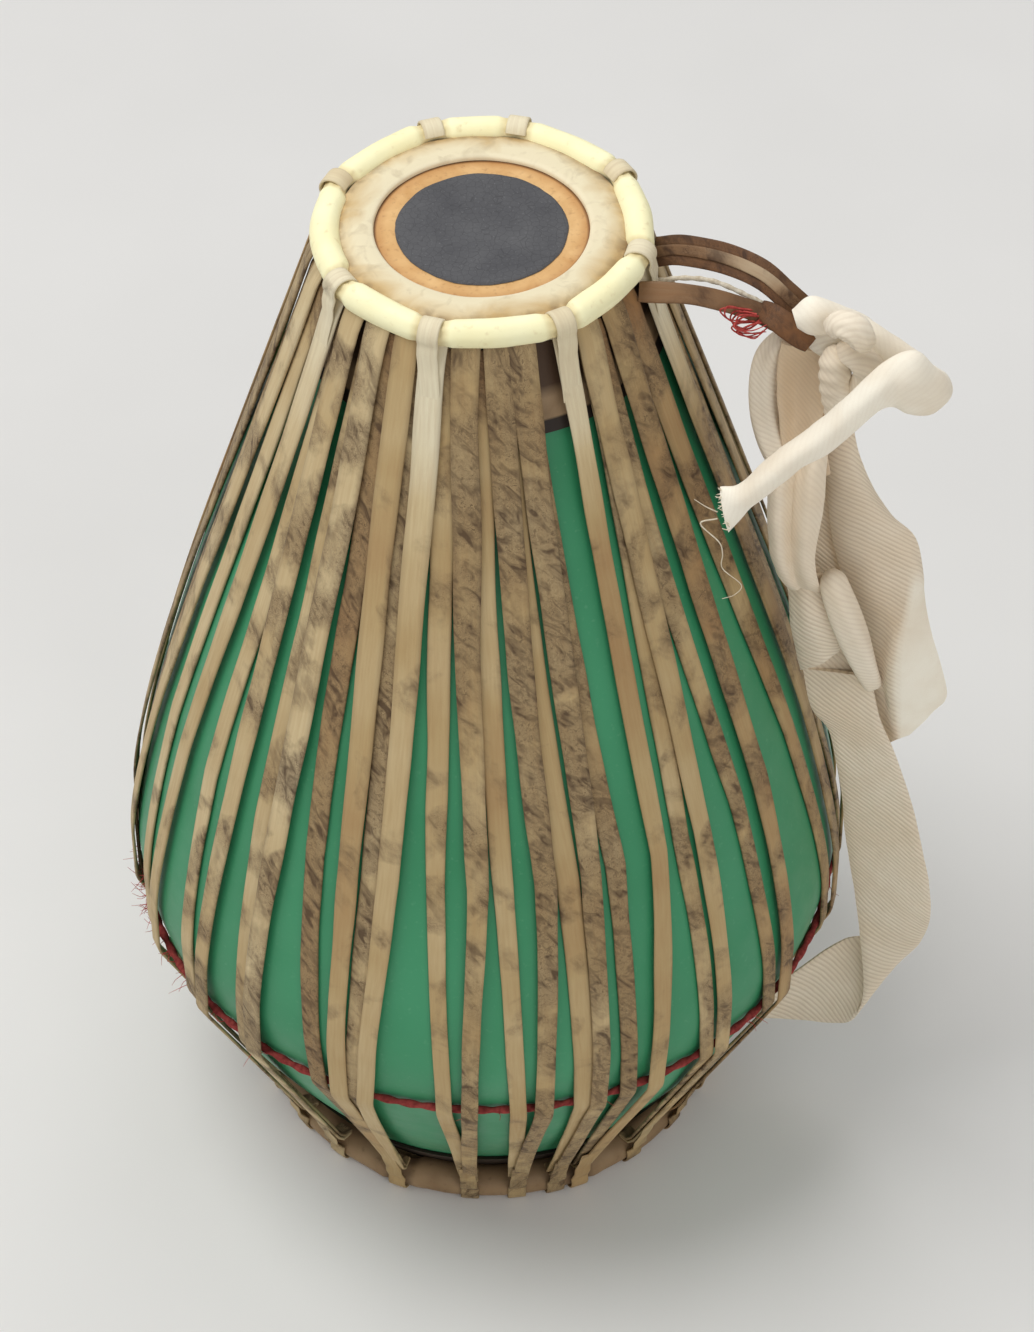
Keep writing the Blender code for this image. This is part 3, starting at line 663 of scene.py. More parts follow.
def hide_marks(look, place):
    """The dark marks in stained hide: slanting strokes, bent veins and fine flecks."""
    stroke = {"Rotation": (0, 0, 0.7), "Scale": (0.0105, 0.0042, 1.0)}
    brushed = look.add("Mapping", {"vector_type": "TEXTURE"}, Vector=place, **stroke)
    strokes = look.ramp(look.noise(brushed.outputs["Vector"], 1.0, 5, 1.0), 0.46, 0.66)
    bent = look.add("VectorMath", {"operation": "ADD"})
    wave = look.noise(place, 130, 3)
    look.put(bent.inputs[0], look.scaled(place, (0.8, 1.3, 1.0)))
    look.put(bent.inputs[1], look.join(look.times(wave, 0.010), wave, 0.0))
    veins = look.ramp(look.cracks(bent.outputs["Vector"], 120), 0.02, 0.09, 0.85, 0.0)
    flecks = look.ramp(look.noise(place, 430, 4), 0.58, 0.70, 0.0, 0.7)
    return look.math("MAXIMUM", look.math("MAXIMUM", strokes, veins), flecks)


def roll_finish(name, tones):
    """Hide rolled round the edge ring: smooth, darker where it is pinched at its wraps, with dark flecks."""
    look = Finish(name, 0.3)
    pale, deep, darkest = [srgb(*tone) for tone in tones]
    pinch = look.tint()[0]
    cloud = look.noise(look.place, 45, 4)
    colour = look.fade(cloud, 0.3, 0.75, pale, deep)
    # Darker where the ring is pinched beside its wraps
    colour = look.fade(pinch, 0.2, 1.0, colour, darkest, 0.6)
    fleck = look.noise(look.place, 260, 5)
    colour = look.fade(fleck, 0.60, 0.78, colour, darkest, 0.45)
    rough = look.ramp(cloud, 0.3, 0.7, 0.5, 0.68)
    soft = look.bump(look.noise(look.place, 130, 3), 0.25, 0.0008)
    return look.end(colour, rough, look.bump(fleck, 0.2, 0.0002, soft))


def collar_finish(inner, outer):
    """The pale collar skin: grey inside with a painted highlight along its inner lip, tan towards its outer
    lip, partly dirt and partly painted shade.
    """
    look = Finish(f"collar_{round(outer * MM)}", 0.25)
    radius = look.off_axis()
    cloud = look.noise(look.place, 38, 5, 0.6)
    # Tan towards the outer lip: partly dirt, partly painted shade where the collar slopes down to the ring
    warm = look.plus(look.ramp(radius, inner, outer, 0.0, 0.9), look.ramp(cloud, 0.3, 0.7, -0.35, 0.35))
    colour = look.fade(warm, 0.25, 0.9, srgb(229, 217, 184), srgb(200, 170, 120))
    smear = look.noise(look.place, 120, 6, 0.8)
    colour = look.fade(smear, 0.52, 0.74, colour, srgb(178, 160, 128), 0.5)
    # Dark smears at the outer lip: partly dirt, partly painted shade against the ring
    lip = look.times(look.ramp(radius, outer - 0.005, outer), look.ramp(smear, 0.35, 0.6))
    colour = look.blend(look.times(lip, 0.75), colour, srgb(112, 84, 52))
    # Painted highlight along the collar's raised inner lip
    colour = look.fade(radius, inner + 0.0025, inner, colour, srgb(250, 238, 208), 0.4)
    fine = look.bump(look.noise(look.place, 600, 4), 0.3, 0.0003)
    return look.end(colour, look.ramp(cloud, 0.3, 0.7, 0.55, 0.72), look.bump(smear, 0.3, 0.0006, fine))


def skin_finish():
    """The playing skin: warm tan on its face, deeper by the collar with painted shade and a painted shadow
    line there, and leather down its skirt, with painted shade under the edge ring and darker towards its
    lower edge.
    """
    look = Finish("head_skin", 0.3)
    skirt = look.tint()[0]
    cloud = look.noise(look.place, 70, 5, 0.6)
    height = look.parts(look.place)[2]
    radius = look.off_axis()
    edge = SMALL_COLLAR_INNER
    face = look.fade(cloud, 0.32, 0.7, srgb(226, 184, 126), srgb(204, 156, 98))
    # Deeper tan towards the collar: partly the skin's own tone, partly painted shade
    face = look.fade(radius, edge - 0.005, edge - 0.0005, face, srgb(178, 122, 68), 0.6)
    # A thin painted shadow line under the collar's inner lip
    face = look.fade(radius, edge - 0.0014, edge - 0.0004, face, srgb(96, 62, 36), 0.7)
    fleck = look.noise(look.place, 420, 5)
    face = look.fade(fleck, 0.55, 0.75, face, srgb(150, 98, 56), 0.4)
    leather = look.fade(cloud, 0.3, 0.7, srgb(176, 148, 114), srgb(140, 114, 84))
    # Painted shade on the skirt's upper part, under the edge ring
    leather = look.fade(height, SKIRT_SHADE_ABOVE - 0.005, SKIRT_SHADE_ABOVE, leather, srgb(84, 62, 44))
    # Darker on the skirt's lower part
    leather = look.fade(height, SKIRT_LOW_DARK, SKIRT_LOW_DARK - 0.001, leather, srgb(50, 40, 34))
    colour = look.blend(skirt, face, leather)
    return look.end(colour, look.ramp(cloud, 0.3, 0.7, 0.45, 0.65), look.bump(fleck, 0.25, 0.0003))


def paste_finish():
    """The black tuning paste: dull, gritty and finely crazed."""
    look = Finish("black_paste", 0.2)
    grit = look.noise(look.place, 900, 3)
    cloud = look.noise(look.place, 45, 4, 0.5)
    colour = look.fade(cloud, 0.3, 0.7, srgb(78, 78, 81), srgb(94, 94, 96))
    colour = look.fade(grit, 0.6, 0.8, colour, srgb(128, 128, 130), 0.5)
    crazing = look.ramp(look.cracks(look.place, 320), 0.0, 0.05, 1.0, 0.0)
    colour = look.blend(look.times(crazing, 0.35), colour, srgb(36, 36, 38))
    normal = look.bump(crazing, 0.25, -0.0002, look.bump(grit, 0.4, 0.0003))
    return look.end(colour, look.ramp(cloud, 0.3, 0.7, 0.7, 0.9), normal)


def fibre_finish(name, tones, scale=500):
    """Spun fibre: streaks of two tones, no gloss to speak of."""
    look = Finish(name, 0.15)
    light, deep = [srgb(*tone) for tone in tones]
    streak = look.noise(look.place, scale, 4)
    cloud = look.noise(look.place, 60, 3)
    colour = look.fade(streak, 0.3, 0.7, light, deep)
    colour = look.fade(cloud, 0.5, 0.8, colour, deep, 0.4)
    return look.end(colour, look.ramp(streak, 0.3, 0.7, 0.75, 0.95), look.bump(streak, 0.4, 0.0003))


def cotton_finish():
    """Cotton twill: steep ribs across the strip with painted shade in their grooves, uneven yarn, and a
    warmer, darker tone, partly wear and partly painted shade.
    """
    look = Finish("cotton_twill", 0.12)
    look.shader.inputs["Sheen Weight"].default_value = 0.15
    along, across, _ = look.parts(look.strip())
    ribbed, wear_and_shade = look.tint()[:2]
    slant = look.plus(along, look.times(across, RIB_SLANT))
    wander = look.times(look.noise(look.place, 130, 2), 0.0012)
    phase = look.times(look.plus(slant, wander), 2 * math.pi / RIB_PITCH)
    rib = look.ramp(look.math("SINE", phase), -1.0, 1.0)
    yarn = look.noise(look.scaled(look.join(along, across, 0.0), (1500, 2600, 1)), 1.0, 3)
    cloud = look.noise(look.place, 32, 4, 0.4)
    colour = look.fade(cloud, 0.35, 0.7, srgb(252, 245, 228), srgb(240, 227, 205))
    # Warmer, darker tone by the second tint: partly worn cloth, partly painted shade on the pieces that hang
    # in shade
    colour = look.blend(wear_and_shade, colour, srgb(226, 202, 170))
    # Painted shade in the grooves between the ribs
    groove = look.times(look.ramp(rib, 0.6, 0.05, 0.0, 0.36), ribbed)
    colour = look.blend(groove, colour, srgb(188, 164, 138))
    colour = look.fade(yarn, 0.55, 0.8, colour, srgb(216, 200, 176), 0.25)
    relief = look.bump(look.times(rib, ribbed), 0.5, 0.0004)
    return look.end(colour, look.ramp(rib, 0.0, 1.0, 0.95, 0.85), look.bump(yarn, 0.3, 0.0003, relief))


# Tones from pale to dark, as red, green and blue
LACE_TONES = (212, 192, 150), (186, 160, 114), (156, 112, 70), (136, 112, 82), (74, 54, 38)
THONG_TONES = (146, 114, 82), (116, 86, 60), (126, 78, 38), (98, 70, 48), (62, 42, 30)
RING_TONES = (255, 251, 208), (250, 241, 190), (214, 190, 138)
# The foot ring is the same cream hide as the small ring, painted in darker browns that stand in for the shade
# it sits in
SHADED_FOOT_RING_TONES = (162, 134, 100), (130, 102, 72), (90, 68, 48)
CORD_TONES = (162, 70, 64), (114, 42, 42)
THREAD_TONES = (196, 88, 80), (152, 54, 52)
STRING_TONES = (226, 218, 200), (188, 174, 150)
FRAY_TONES = (236, 228, 208), (206, 192, 166)
LOOKS = {
    "shell": (shell_finish(), "drum", "shell"),
    "lace": (hide_finish("lace_hide", LACE_TONES), "drum", "lace_hide"),
    "thong": (hide_finish("thong_leather", THONG_TONES), "drum", "thong_leather"),
    "ring": (roll_finish("ring_roll", RING_TONES), "drum", "ring_cloth"),
    "foot_ring": (roll_finish("shaded_foot_roll", SHADED_FOOT_RING_TONES), "drum", "foot_ring"),
    "skin": (skin_finish(), "drum", "head_skin"),
    "paste": (paste_finish(), "drum", "black_patch"),
    "cord": (fibre_finish("red_cord", CORD_TONES), "drum", "red_cord"),
    "thread": (fibre_finish("red_thread", THREAD_TONES), "drum", "red_cord"),
    "string": (fibre_finish("white_string", STRING_TONES), "drum", "white_string"),
    "cotton": (cotton_finish(), "strap", "strap_cotton"),
    "fray": (fibre_finish("cotton_fray", FRAY_TONES, 300), "strap", "strap_cotton"),
}


# Shell and belly cord


def shell_outside():
    """The shell's outer meridian, from the small rim over the belly to the large rim."""
    belly = (BELLY_RADIUS, BELLY_HEIGHT)
    small = (SMALL_RIM_RADIUS, SMALL_RIM_Z)
    large = (LARGE_RIM_RADIUS, LARGE_RIM_Z)
    small_handle = (SMALL_RIM_RADIUS + SMALL_FLARE[0], SMALL_RIM_Z - SMALL_FLARE[1])
    large_handle = (LARGE_RIM_RADIUS + LARGE_FLARE[0], LARGE_RIM_Z + LARGE_FLARE[1])
    above = (BELLY_RADIUS, BELLY_HEIGHT + BELLY_ROUND_ABOVE)
    below = (BELLY_RADIUS, BELLY_HEIGHT - BELLY_ROUND_BELOW)
    upper = bezier(small, small_handle, above, belly, SHELL_STEPS)
    return upper + bezier(belly, below, large_handle, large, SHELL_STEPS)[1:]


SHELL_OUTSIDE = shell_outside()


def cord_centre():
    """Radius at which the belly cord rests on the shell."""
    above, below = [between(SHELL_OUTSIDE, CORD_HEIGHT + side * CORD_RADIUS) for side in (1, -1)]
    reach = (CORD_RADIUS + CLEARANCE) * math.hypot(1, (above - below) / (2 * CORD_RADIUS))
    return between(SHELL_OUTSIDE, CORD_HEIGHT) + reach


def build_shell():
    inside = [tuple(point) for point, _ in offset(SHELL_OUTSIDE, -SHELL_WALL)]
    inside[0] = (inside[0][0], SMALL_RIM_Z)
    inside[-1] = (inside[-1][0], LARGE_RIM_Z)
    turned("drum_shell", SHELL_OUTSIDE + inside[::-1], SHELL_SIDES, LOOKS["shell"], "shell")


def build_cord():
    """A two-ply red cord round the belly, and the loose fibres on it."""
    radius = cord_centre()
    plies = round(2 * math.pi * radius / CORD_LAY)
    rings = []
    for step in range(CORD_STEPS):
        bearing = 360 * step / CORD_STEPS
        ring = []
        for turn in turns(CORD_SIDES):
            lay = turn - math.pi * plies * step / CORD_STEPS
            reach = CORD_RADIUS * (1 - CORD_PLY + CORD_PLY * math.cos(2 * lay))
            ring.append(polar(radius + reach * math.cos(turn), bearing, CORD_HEIGHT + reach * math.sin(turn)))
        rings.append(ring)
    body("belly_cord_twist", rings, LOOKS["cord"], node="belly_cord", closed=True)
    draw = random.Random(4)
    lines = []
    for count in range(FUZZ_COUNT):
        bearing = draw.gauss(FUZZ_BEARING, FUZZ_SPREAD) if count % FUZZ_STRAY else draw.uniform(0, 360)
        start = polar(radius + FUZZ_ROOT, bearing, CORD_HEIGHT + draw.uniform(-FUZZ_RISE, FUZZ_RISE))
        out = polar(1, bearing + draw.uniform(-FUZZ_TURN, FUZZ_TURN), draw.uniform(*FUZZ_TILT)).normalized()
        curl = Vector([draw.uniform(-1, 1) for _ in range(3)]) * FUZZ_CURL
        reach = draw.uniform(*FUZZ_REACH)
        lines.append(smooth([start, start + out * reach / 2, start + (out + curl) * reach], FUZZ_STEPS))
    threads("belly_cord_fuzz", lines, FUZZ_THICK, LOOKS["thread"])


# Heads, edge rings and wraps


class End(NamedTuple):
    """One end of the drum."""

    name: str
    look: str  # of its edge ring
    out: int  # 1 where out of the drum is up, -1 where it is down
    rim: float
    rim_z: float
    flare: tuple  # of the shell at the rim: outward, inward
    collar_inner: float
    patch: float
    skirt: float
    tube: float  # radius of the edge ring's roll
    drop: float  # of the ring's middle, in from the rim
    lace_out: float  # where the laces turn down, out from the ring's outside
    lace_fall: float  # and in from their tucked end
    wraps: tuple

    @property
    def lean(self):
        return self.flare[0] / self.flare[1]

    @property
    def stretch(self):
        return math.hypot(1, self.lean)

    @property
    def ring_z(self):
        return self.rim_z - self.out * self.drop

    @property
    def ring_radius(self):
        start = self.rim + (CLEARANCE + SKIN) * self.stretch
        return start + self.lean * self.drop + (self.tube + CLEARANCE) * self.stretch

    def height(self, outward):
        return self.rim_z + self.out * outward

    def skirt_outside(self, inward):
        return between(SHELL_OUTSIDE, self.height(-inward)) + (CLEARANCE + SKIN) * self.stretch

    def ring_at(self, bearing):
        """Centre radius, tube radius and pinch of the edge ring at a bearing: straighter between wraps."""
        bearing = (bearing - self.wraps[0]) % 360 + self.wraps[0]
        behind = max(wrap for wrap in self.wraps if wrap <= bearing)
        ahead = min(wrap for wrap in (*self.wraps, self.wraps[0] + 360) if wrap > bearing)
        half = (ahead - behind) / 2
        middle = bearing - (ahead + behind) / 2
        corner = self.ring_radius + RING_CORNER
        chord = corner * math.cos(math.radians(half)) / math.cos(math.radians(middle))
        radius = max(mix(corner, chord, RING_STRAIGHT), self.ring_radius - RING_DIP)
        near = math.radians(half - abs(middle)) * self.ring_radius
        pinch = 1 - ease((near - WRAP_WIDTH / 2) / PINCH_RUN)
        return radius, self.tube - RING_PINCH * pinch, pinch

    def lace_anchor(self):
        """Where the laces lie under the edge ring: the tucked end, then the turn down the side."""
        tucked_in = self.drop + self.tube + CLEARANCE + LACE_STACK
        tucked = (self.skirt_outside(tucked_in) + LACE_TUCK, self.height(-tucked_in))
        turn_radius = self.ring_radius + self.tube + self.lace_out
        return tucked, (turn_radius, self.height(-tucked_in - self.lace_fall))


SMALL_END = End(
    name="small", look="ring", out=1, rim=SMALL_RIM_RADIUS, rim_z=SMALL_RIM_Z, flare=SMALL_FLARE,
    collar_inner=SMALL_COLLAR_INNER, patch=0.036, skirt=0.045, tube=0.0061, drop=-0.0015,
    lace_out=-0.0045, lace_fall=-0.0035, wraps=(-148, -107, -61.5, -15, 31, 77, 109, 155),
)
LARGE_END = End(
    name="large", look="foot_ring", out=-1, rim=LARGE_RIM_RADIUS, rim_z=LARGE_RIM_Z, flare=LARGE_FLARE,
    collar_inner=0.080, patch=0.045, skirt=0.030, tube=0.0080, drop=0.001,
    lace_out=-0.0028, lace_fall=-0.001, wraps=tuple(22.5 + 45 * turn for turn in range(8)),
)


def build_skin(end):
    """The playing skin: a face closed at the axis, turned over the rim into a skirt down the shell."""
    levels = [end.skirt * step / SKIRT_STEPS for step in range(SKIRT_STEPS + 1)]
    outside = [(end.skirt_outside(level), end.height(-level)) for level in levels]
    inside = [(radius - SKIN * end.stretch, height) for radius, height in outside]
    over, under = end.height(CLEARANCE + SKIN), end.height(CLEARANCE)
    face = [(end.rim * step / FACE_STEPS, over) for step in range(1, FACE_STEPS)]
    back = [(radius, under) for radius, _ in face[::-1]]
    edge, bevel = outside[0][0], SKIN * SKIN_CORNER
    corner = [(edge - SKIN, over), (edge - bevel, over - end.out * bevel)]
    section = face + corner + outside + inside[::-1] + [(inside[0][0], under)] + back
    on_face, on_skirt = [(0, 0, 0)], [(1, 0, 0)]
    tints = on_face * (len(face) + 1) + on_skirt * (len(outside) + len(inside) + 2) + on_face * len(back)
    size, count = len(section), SKIN_SIDES
    points = [polar(r, 360 * side / count, z) for side in range(count) for r, z in section]
    points += [Vector((0, 0, over)), Vector((0, 0, under))]
    faces = []
    for here in range(0, count * size, size):
        there = (here + size) % (count * size)
        faces += [(here + side, here + side + 1, there + side + 1, there + side) for side in range(size - 1)]
        faces += [(here, there, count * size), (here + size - 1, count * size + 1, there + size - 1)]
    tints = tints * count + on_face * 2
    piece(f"{end.name}_skin", points, faces, LOOKS["skin"], tint=tints, node=f"{end.name}_head_skin")


def build_collar(end):
    """The ring of skin over the head's edge: a thick inner lip, a puffed middle and a slope to the ring."""
    base = CLEARANCE + SKIN + CLEARANCE
    inner, outer = end.collar_inner, end.rim + COLLAR_OVERHANG
    section = [(mix(inner, outer, across), end.height(base + COLLAR * rise)) for across, rise in COLLAR_RISES]
    look = (collar_finish(inner, outer), "drum", "collar_skin")
    turned(f"{end.name}_collar", section, COLLAR_SIDES, look, f"{end.name}_head_collar", COLLAR_WOBBLE)


def build_patch(end):
    """The black tuning patch: a low gritty dome with an uneven edge."""
    base = CLEARANCE + SKIN + CLEARANCE
    rings = []
    for share, rise in PATCH_RISES:
        ring = []
        for side in range(PATCH_SIDES):
            bearing = 360 * side / PATCH_SIDES
            ragged = sum(much * noise.noise(polar(far, bearing, row)) for much, far, row in PATCH_RAGGED)
            point = polar(end.patch * share * (1 + ragged), bearing, end.height(base + PATCH * rise))
            point.z += end.out * PATCH_GRIT * noise.noise(point * PATCH_GRIT_SCALE) * min(1.0, 2 * rise)
            ring.append(point)
        rings.append(ring)
    body(f"{end.name}_patch", rings, LOOKS["paste"], node=f"{end.name}_head_patch")


def build_ring(end):
    """The rolled edge ring, drawn in at its wraps, with creases that run out from them."""
    rings, tints = [], []
    for step in range(RING_STEPS):
        bearing = 360 * step / RING_STEPS
        radius, tube, pinch = end.ring_at(bearing)
        ring = []
        for turn in turns(RING_SIDES):
            across, up = math.cos(turn), end.out * math.sin(turn)
            point = polar(radius + tube * across, bearing, end.ring_z + tube * up)
            bend = RING_CREASE_BEND * noise.noise(point * RING_CREASE_SCALE)
            crease = math.sin(RING_CREASES * turn + bend) * mix(RING_CREASE_LEAST, 1, pinch)
            lump = noise.noise(point * RING_LUMP_SCALE) * (1 - pinch)
            reach = tube + RING_CREASE * crease + RING_LUMP * lump
            ring.append(polar(radius + reach * across, bearing, max(FOOT_RISE, end.ring_z + reach * up)))
            tints.append((pinch, 0, 0))
        rings.append(ring)
    look, node = LOOKS[end.look], f"{end.name}_edge_ring"
    body(f"{end.name}_ring_roll", rings, look, tint=tints, node=node, closed=True)


def faded(look, along, from_wrap, ring_shaded=False):
    """A strand's tone, stain and seed at a distance from its top: paler there below a wrap, or darkened by
    painted shade from the ring.
    """
    tone, stain, seed = look
    if from_wrap:
        share = ease((along - PALE_FROM) / PALE_RUN)
        return mix(WRAP_TONE, tone, share), stain * share, seed
    # Painted shade: darker and more stained near the ring, which shades the strand there
    under = 1 - ease(along / RING_SHADE_RUN) if ring_shaded else 0.0
    return tone + RING_SHADE_TONE * under, stain + under, seed


def wrap_tab(end, bearing, low_bearing):
    """The end of a wrap, down from the ring and flat on the lace at another bearing."""
    turn_z = end.lace_anchor()[1][1]
    tab = []
    for step in range(TAB_STEPS + 1):
        far = TAB_LENGTH * step / TAB_STEPS
        height = turn_z - end.out * far
        reach = lace_reach(height) + CLEARANCE + WRAP_THICK / 2 * (1 - far / TAB_THINNING)
        reach -= TAB_SINK * ease((far - TAB_SINK_FROM) / (TAB_LENGTH - TAB_SINK_FROM))
        tab.append(polar(reach, bearing + turn_between(bearing, low_bearing) * ease(far / TAB_TURN), height))
    return tab


def wrap_strip(name, end, bearing, look, low_bearing, node=None):
    """A strip over the edge ring: down to the lace that it runs on as, or back under the ring if none."""
    radius, tube, _ = end.ring_at(bearing + JUST_PAST)
    reach = tube + WRAP_THICK / 2 + CLEARANCE
    last = WRAP_UNDER if low_bearing is None else WRAP_LEAVE
    line, ups = [], []
    for step in range(WRAP_STEPS + 1):
        turn = math.radians(mix(WRAP_START, last, step / WRAP_STEPS))
        up = polar(math.cos(turn), bearing, end.out * math.sin(turn))
        point = polar(radius, bearing, end.ring_z) + up * reach
        point.z = max(point.z, WRAP_THICK / 2)
        line.append(point)
        ups.append(up)
    tab = [] if low_bearing is None else wrap_tab(end, bearing, low_bearing)
    if tab:
        line += [line[-1].lerp(tab[0], 0.5)] + tab
        out = polar(1, bearing, end.out * TAB_LEAN).normalized()
        ups += [(ups[-1] + out).normalized()] + [out] * len(tab)
    shares = [ease((place - WRAP_STEPS) / max(1, len(tab))) for place in range(len(line))]
    widths = [mix(WRAP_WIDTH, TAB_TIP_WIDTHS[end.name], share) for share in shares]
    thicks = [mix(WRAP_THICK, TAB_TIP_THICK, share) for share in shares]
    top_along = (TAUT_PATH[1] - TAUT_PATH[0]).length + end.lace_fall + TAB_LENGTH
    start = top_along - lengths(line)[-1]
    tints = [faded(look, start + far, end is SMALL_END) for far in lengths(line)]
    strip(name, line, ups, widths, thicks, LOOKS["lace"], tints, start, node)


def build_wraps(end):
    """The wraps that pinch the edge ring, and at the foot a strip over the ring at every lace's fold."""
    table = strand_table()
    for count, bearing in enumerate(end.wraps, 1):
        near = min(table[::2], key=lambda row: abs(turn_between(row.top, bearing)))
        low_bearing = bearing
        if end is SMALL_END:
            low_bearing = near.top if abs(turn_between(near.top, bearing)) < WRAP_NEAR else None
        node = f"{end.name}_ring_wrap_{count}"
        wrap_strip(f"{end.name}_wrap_{count}", end, bearing, near.look, low_bearing, node)
    if end is SMALL_END:
        return
    for strand in range(0, len(table), 2):
        bearing = (foot_fold(table, strand) + 180) % 360 - 180
        if min(abs(turn_between(wrap, bearing)) for wrap in end.wraps) > FOOT_STRIP_APART:
            wrap_strip(f"foot_strip_{strand // 2 + 1}", end, bearing, table[strand].look, bearing)


# Laces


def taut_path():
    """The meridian that a tight lace takes from end to end, over the shell and the belly cord."""
    small_tuck, small_turn = SMALL_END.lace_anchor()
    large_tuck, large_turn = LARGE_END.lace_anchor()
    radius = cord_centre()
    cord = []
    for turn in turns(CORD_SUPPORTS):
        cord.append((radius + CORD_RADIUS * math.cos(turn), CORD_HEIGHT + CORD_RADIUS * math.sin(turn)))
    supports = [point for point in SHELL_OUTSIDE + cord if small_turn[1] > point[1] > large_turn[1]]
    hull = []
    for point in [small_turn] + sorted(supports, key=lambda p: -p[1]) + [large_turn]:
        while len(hull) > 1:
            (r0, z0), (r1, z1) = hull[-2:]
            if r1 > r0 + (point[0] - r0) * (z0 - z1) / (z0 - point[1]):
                break
            hull.pop()
        hull.append(point)
    return [small_tuck] + hull + [large_tuck]


TAUT_PATH = spaced(taut_path(), LACE_SPACING)
PATH_LENGTHS = lengths(TAUT_PATH)
# The outside of both layers, between the points that turn in under the rings
LACE_OUTSIDE = [point for point, _ in offset(TAUT_PATH, LACE_STACK)][2:-2]


def lace_reach(height):
    return between(LACE_OUTSIDE, height)


class Strand(NamedTuple):
    """One run of a lace: its bearings at the small head and the belly, its width there, and its look."""

    top: float
    belly: float
    width: float
    tone: float
    stain: float
    seed: float

    @property
    def look(self):
        return self.tone, self.stain, self.seed


def strand_table():
    """Every strand in order round the drum, in the outer and the inner layer by turns."""
    draw = random.Random(7)
    table = [Strand(*strand, draw.random()) for strand in STRANDS]
    first, last = table[0], table[-1]
    for count in range(1, STRANDS_AT_BACK + 1):
        share = count / (STRANDS_AT_BACK + 1)
        top = mix(last.top, first.top + 360, share)
        belly = mix(last.belly, first.belly + 360, share) + draw.uniform(-BACK_STRAY, BACK_STRAY)
        look = [draw.uniform(*limits) for limits in BACK_LOOKS]
        from_last = STRANDS_AT_BACK - count
        look = SIDE_LOOKS[-1 - from_last] if from_last < len(SIDE_LOOKS) else look
        table.append(Strand(top, belly, *look, draw.random()))
    # The first strand lies in the inner layer, so it closes the round after the last one.
    return table[1:] + [first._replace(top=first.top + 360, belly=first.belly + 360)]


def partner_mean(bearings, strand, at_top):
    """Bearing of the fold that a strand shares with its neighbour at one end."""
    other = strand + 1 if (strand % 2 == 0) == at_top else strand - 1
    turn = 360 * (other // len(bearings))
    return (bearings[strand] + bearings[other % len(bearings)] + turn) / 2


def foot_fold(table, strand):
    """Bearing of a strand's fold at the foot: under the wrap beside it, if there is one near."""
    fold = partner_mean([row.belly for row in table], strand, False)
    aside = min((turn_between(fold, wrap) for wrap in LARGE_END.wraps), key=abs)
    return fold + aside if abs(aside) < FOOT_STRIP_APART else fold


def strand_width(height, belly_width, top_width):
    share = ease((SMALL_RIM_Z - height) / (SMALL_RIM_Z - BELLY_HEIGHT)) ** 2
    width = mix(top_width, belly_width, share)
    return mix(width, LACE_LOW_WIDTH, ease((BELLY_HEIGHT - height) / BELLY_HEIGHT))


def strand_places(strand, table):
    """Radius, height, bearing, facing, width, lean and length along of a strand's points, from the top."""
    row, outer = table[strand], strand % 2 == 0
    top_width = TOP_WIDTHS.get(strand + 1, LACE_TOP_WIDTH if outer else INNER_TOP_WIDTH)
    path = offset(TAUT_PATH, OUTER_LAYER if outer else INNER_LAYER)
    low_fold = foot_fold(table, strand)
    low_end = mix(row.belly, low_fold, LACE_PAIRING)
    top_z, low_z = SMALL_END.lace_anchor()[1][1], LARGE_END.lace_anchor()[1][1]
    places = []
    for place, ((radius, height), out) in enumerate(path):
        if height > LACE_LEVEL:
            share = min((top_z - height) / (top_z - LACE_LEVEL), 1.0)
            bearing = mix(row.top, row.belly, max(share, 0.0))
        else:
            share = min((LACE_LEVEL - height) / (LACE_LEVEL - low_z), 1.0)
            bearing = mix(row.belly, low_end, share)
        bearing += math.degrees(LACE_DRIFT * uneven(height, row.seed, DRIFT_NOISE) / radius)
        width = strand_width(height, row.width, top_width)
        width *= 1 + LACE_SWELL * uneven(height, row.seed, SWELL_NOISE)
        tuck_low = ease((len(path) - 1 - place) / LACE_LAST_POINTS)
        bearing = mix(low_fold, bearing, tuck_low) if tuck_low < 1 else bearing
        width = mix(LACE_END_WIDTH, width, tuck_low)
        lean = LACE_LEAN * uneven(height, row.seed, LEAN_NOISE)
        places.append((radius, height, bearing, out if outer else -out, width, lean, PATH_LENGTHS[place]))
    return places


def fold_places(end_point, outward, tuck_in, bearings, width, from_outer, along):
    """The half turn that joins the two layers of a lace at one of its ends, from one bearing to another."""
    middle, reach = (INNER_LAYER + OUTER_LAYER) / 2, (OUTER_LAYER - INNER_LAYER) / 2
    places = []
    for step in range(1, FOLD_STEPS):
        turn = math.pi * step / FOLD_STEPS
        turn = turn if from_outer else math.pi - turn
        facing = outward * math.cos(turn) + tuck_in * math.sin(turn)
        centre = end_point + outward * middle + facing * reach
        bearing = mix(*bearings, step / FOLD_STEPS)
        places.append((centre.x, centre.y, bearing, facing, width, 0.0, along))
    return places


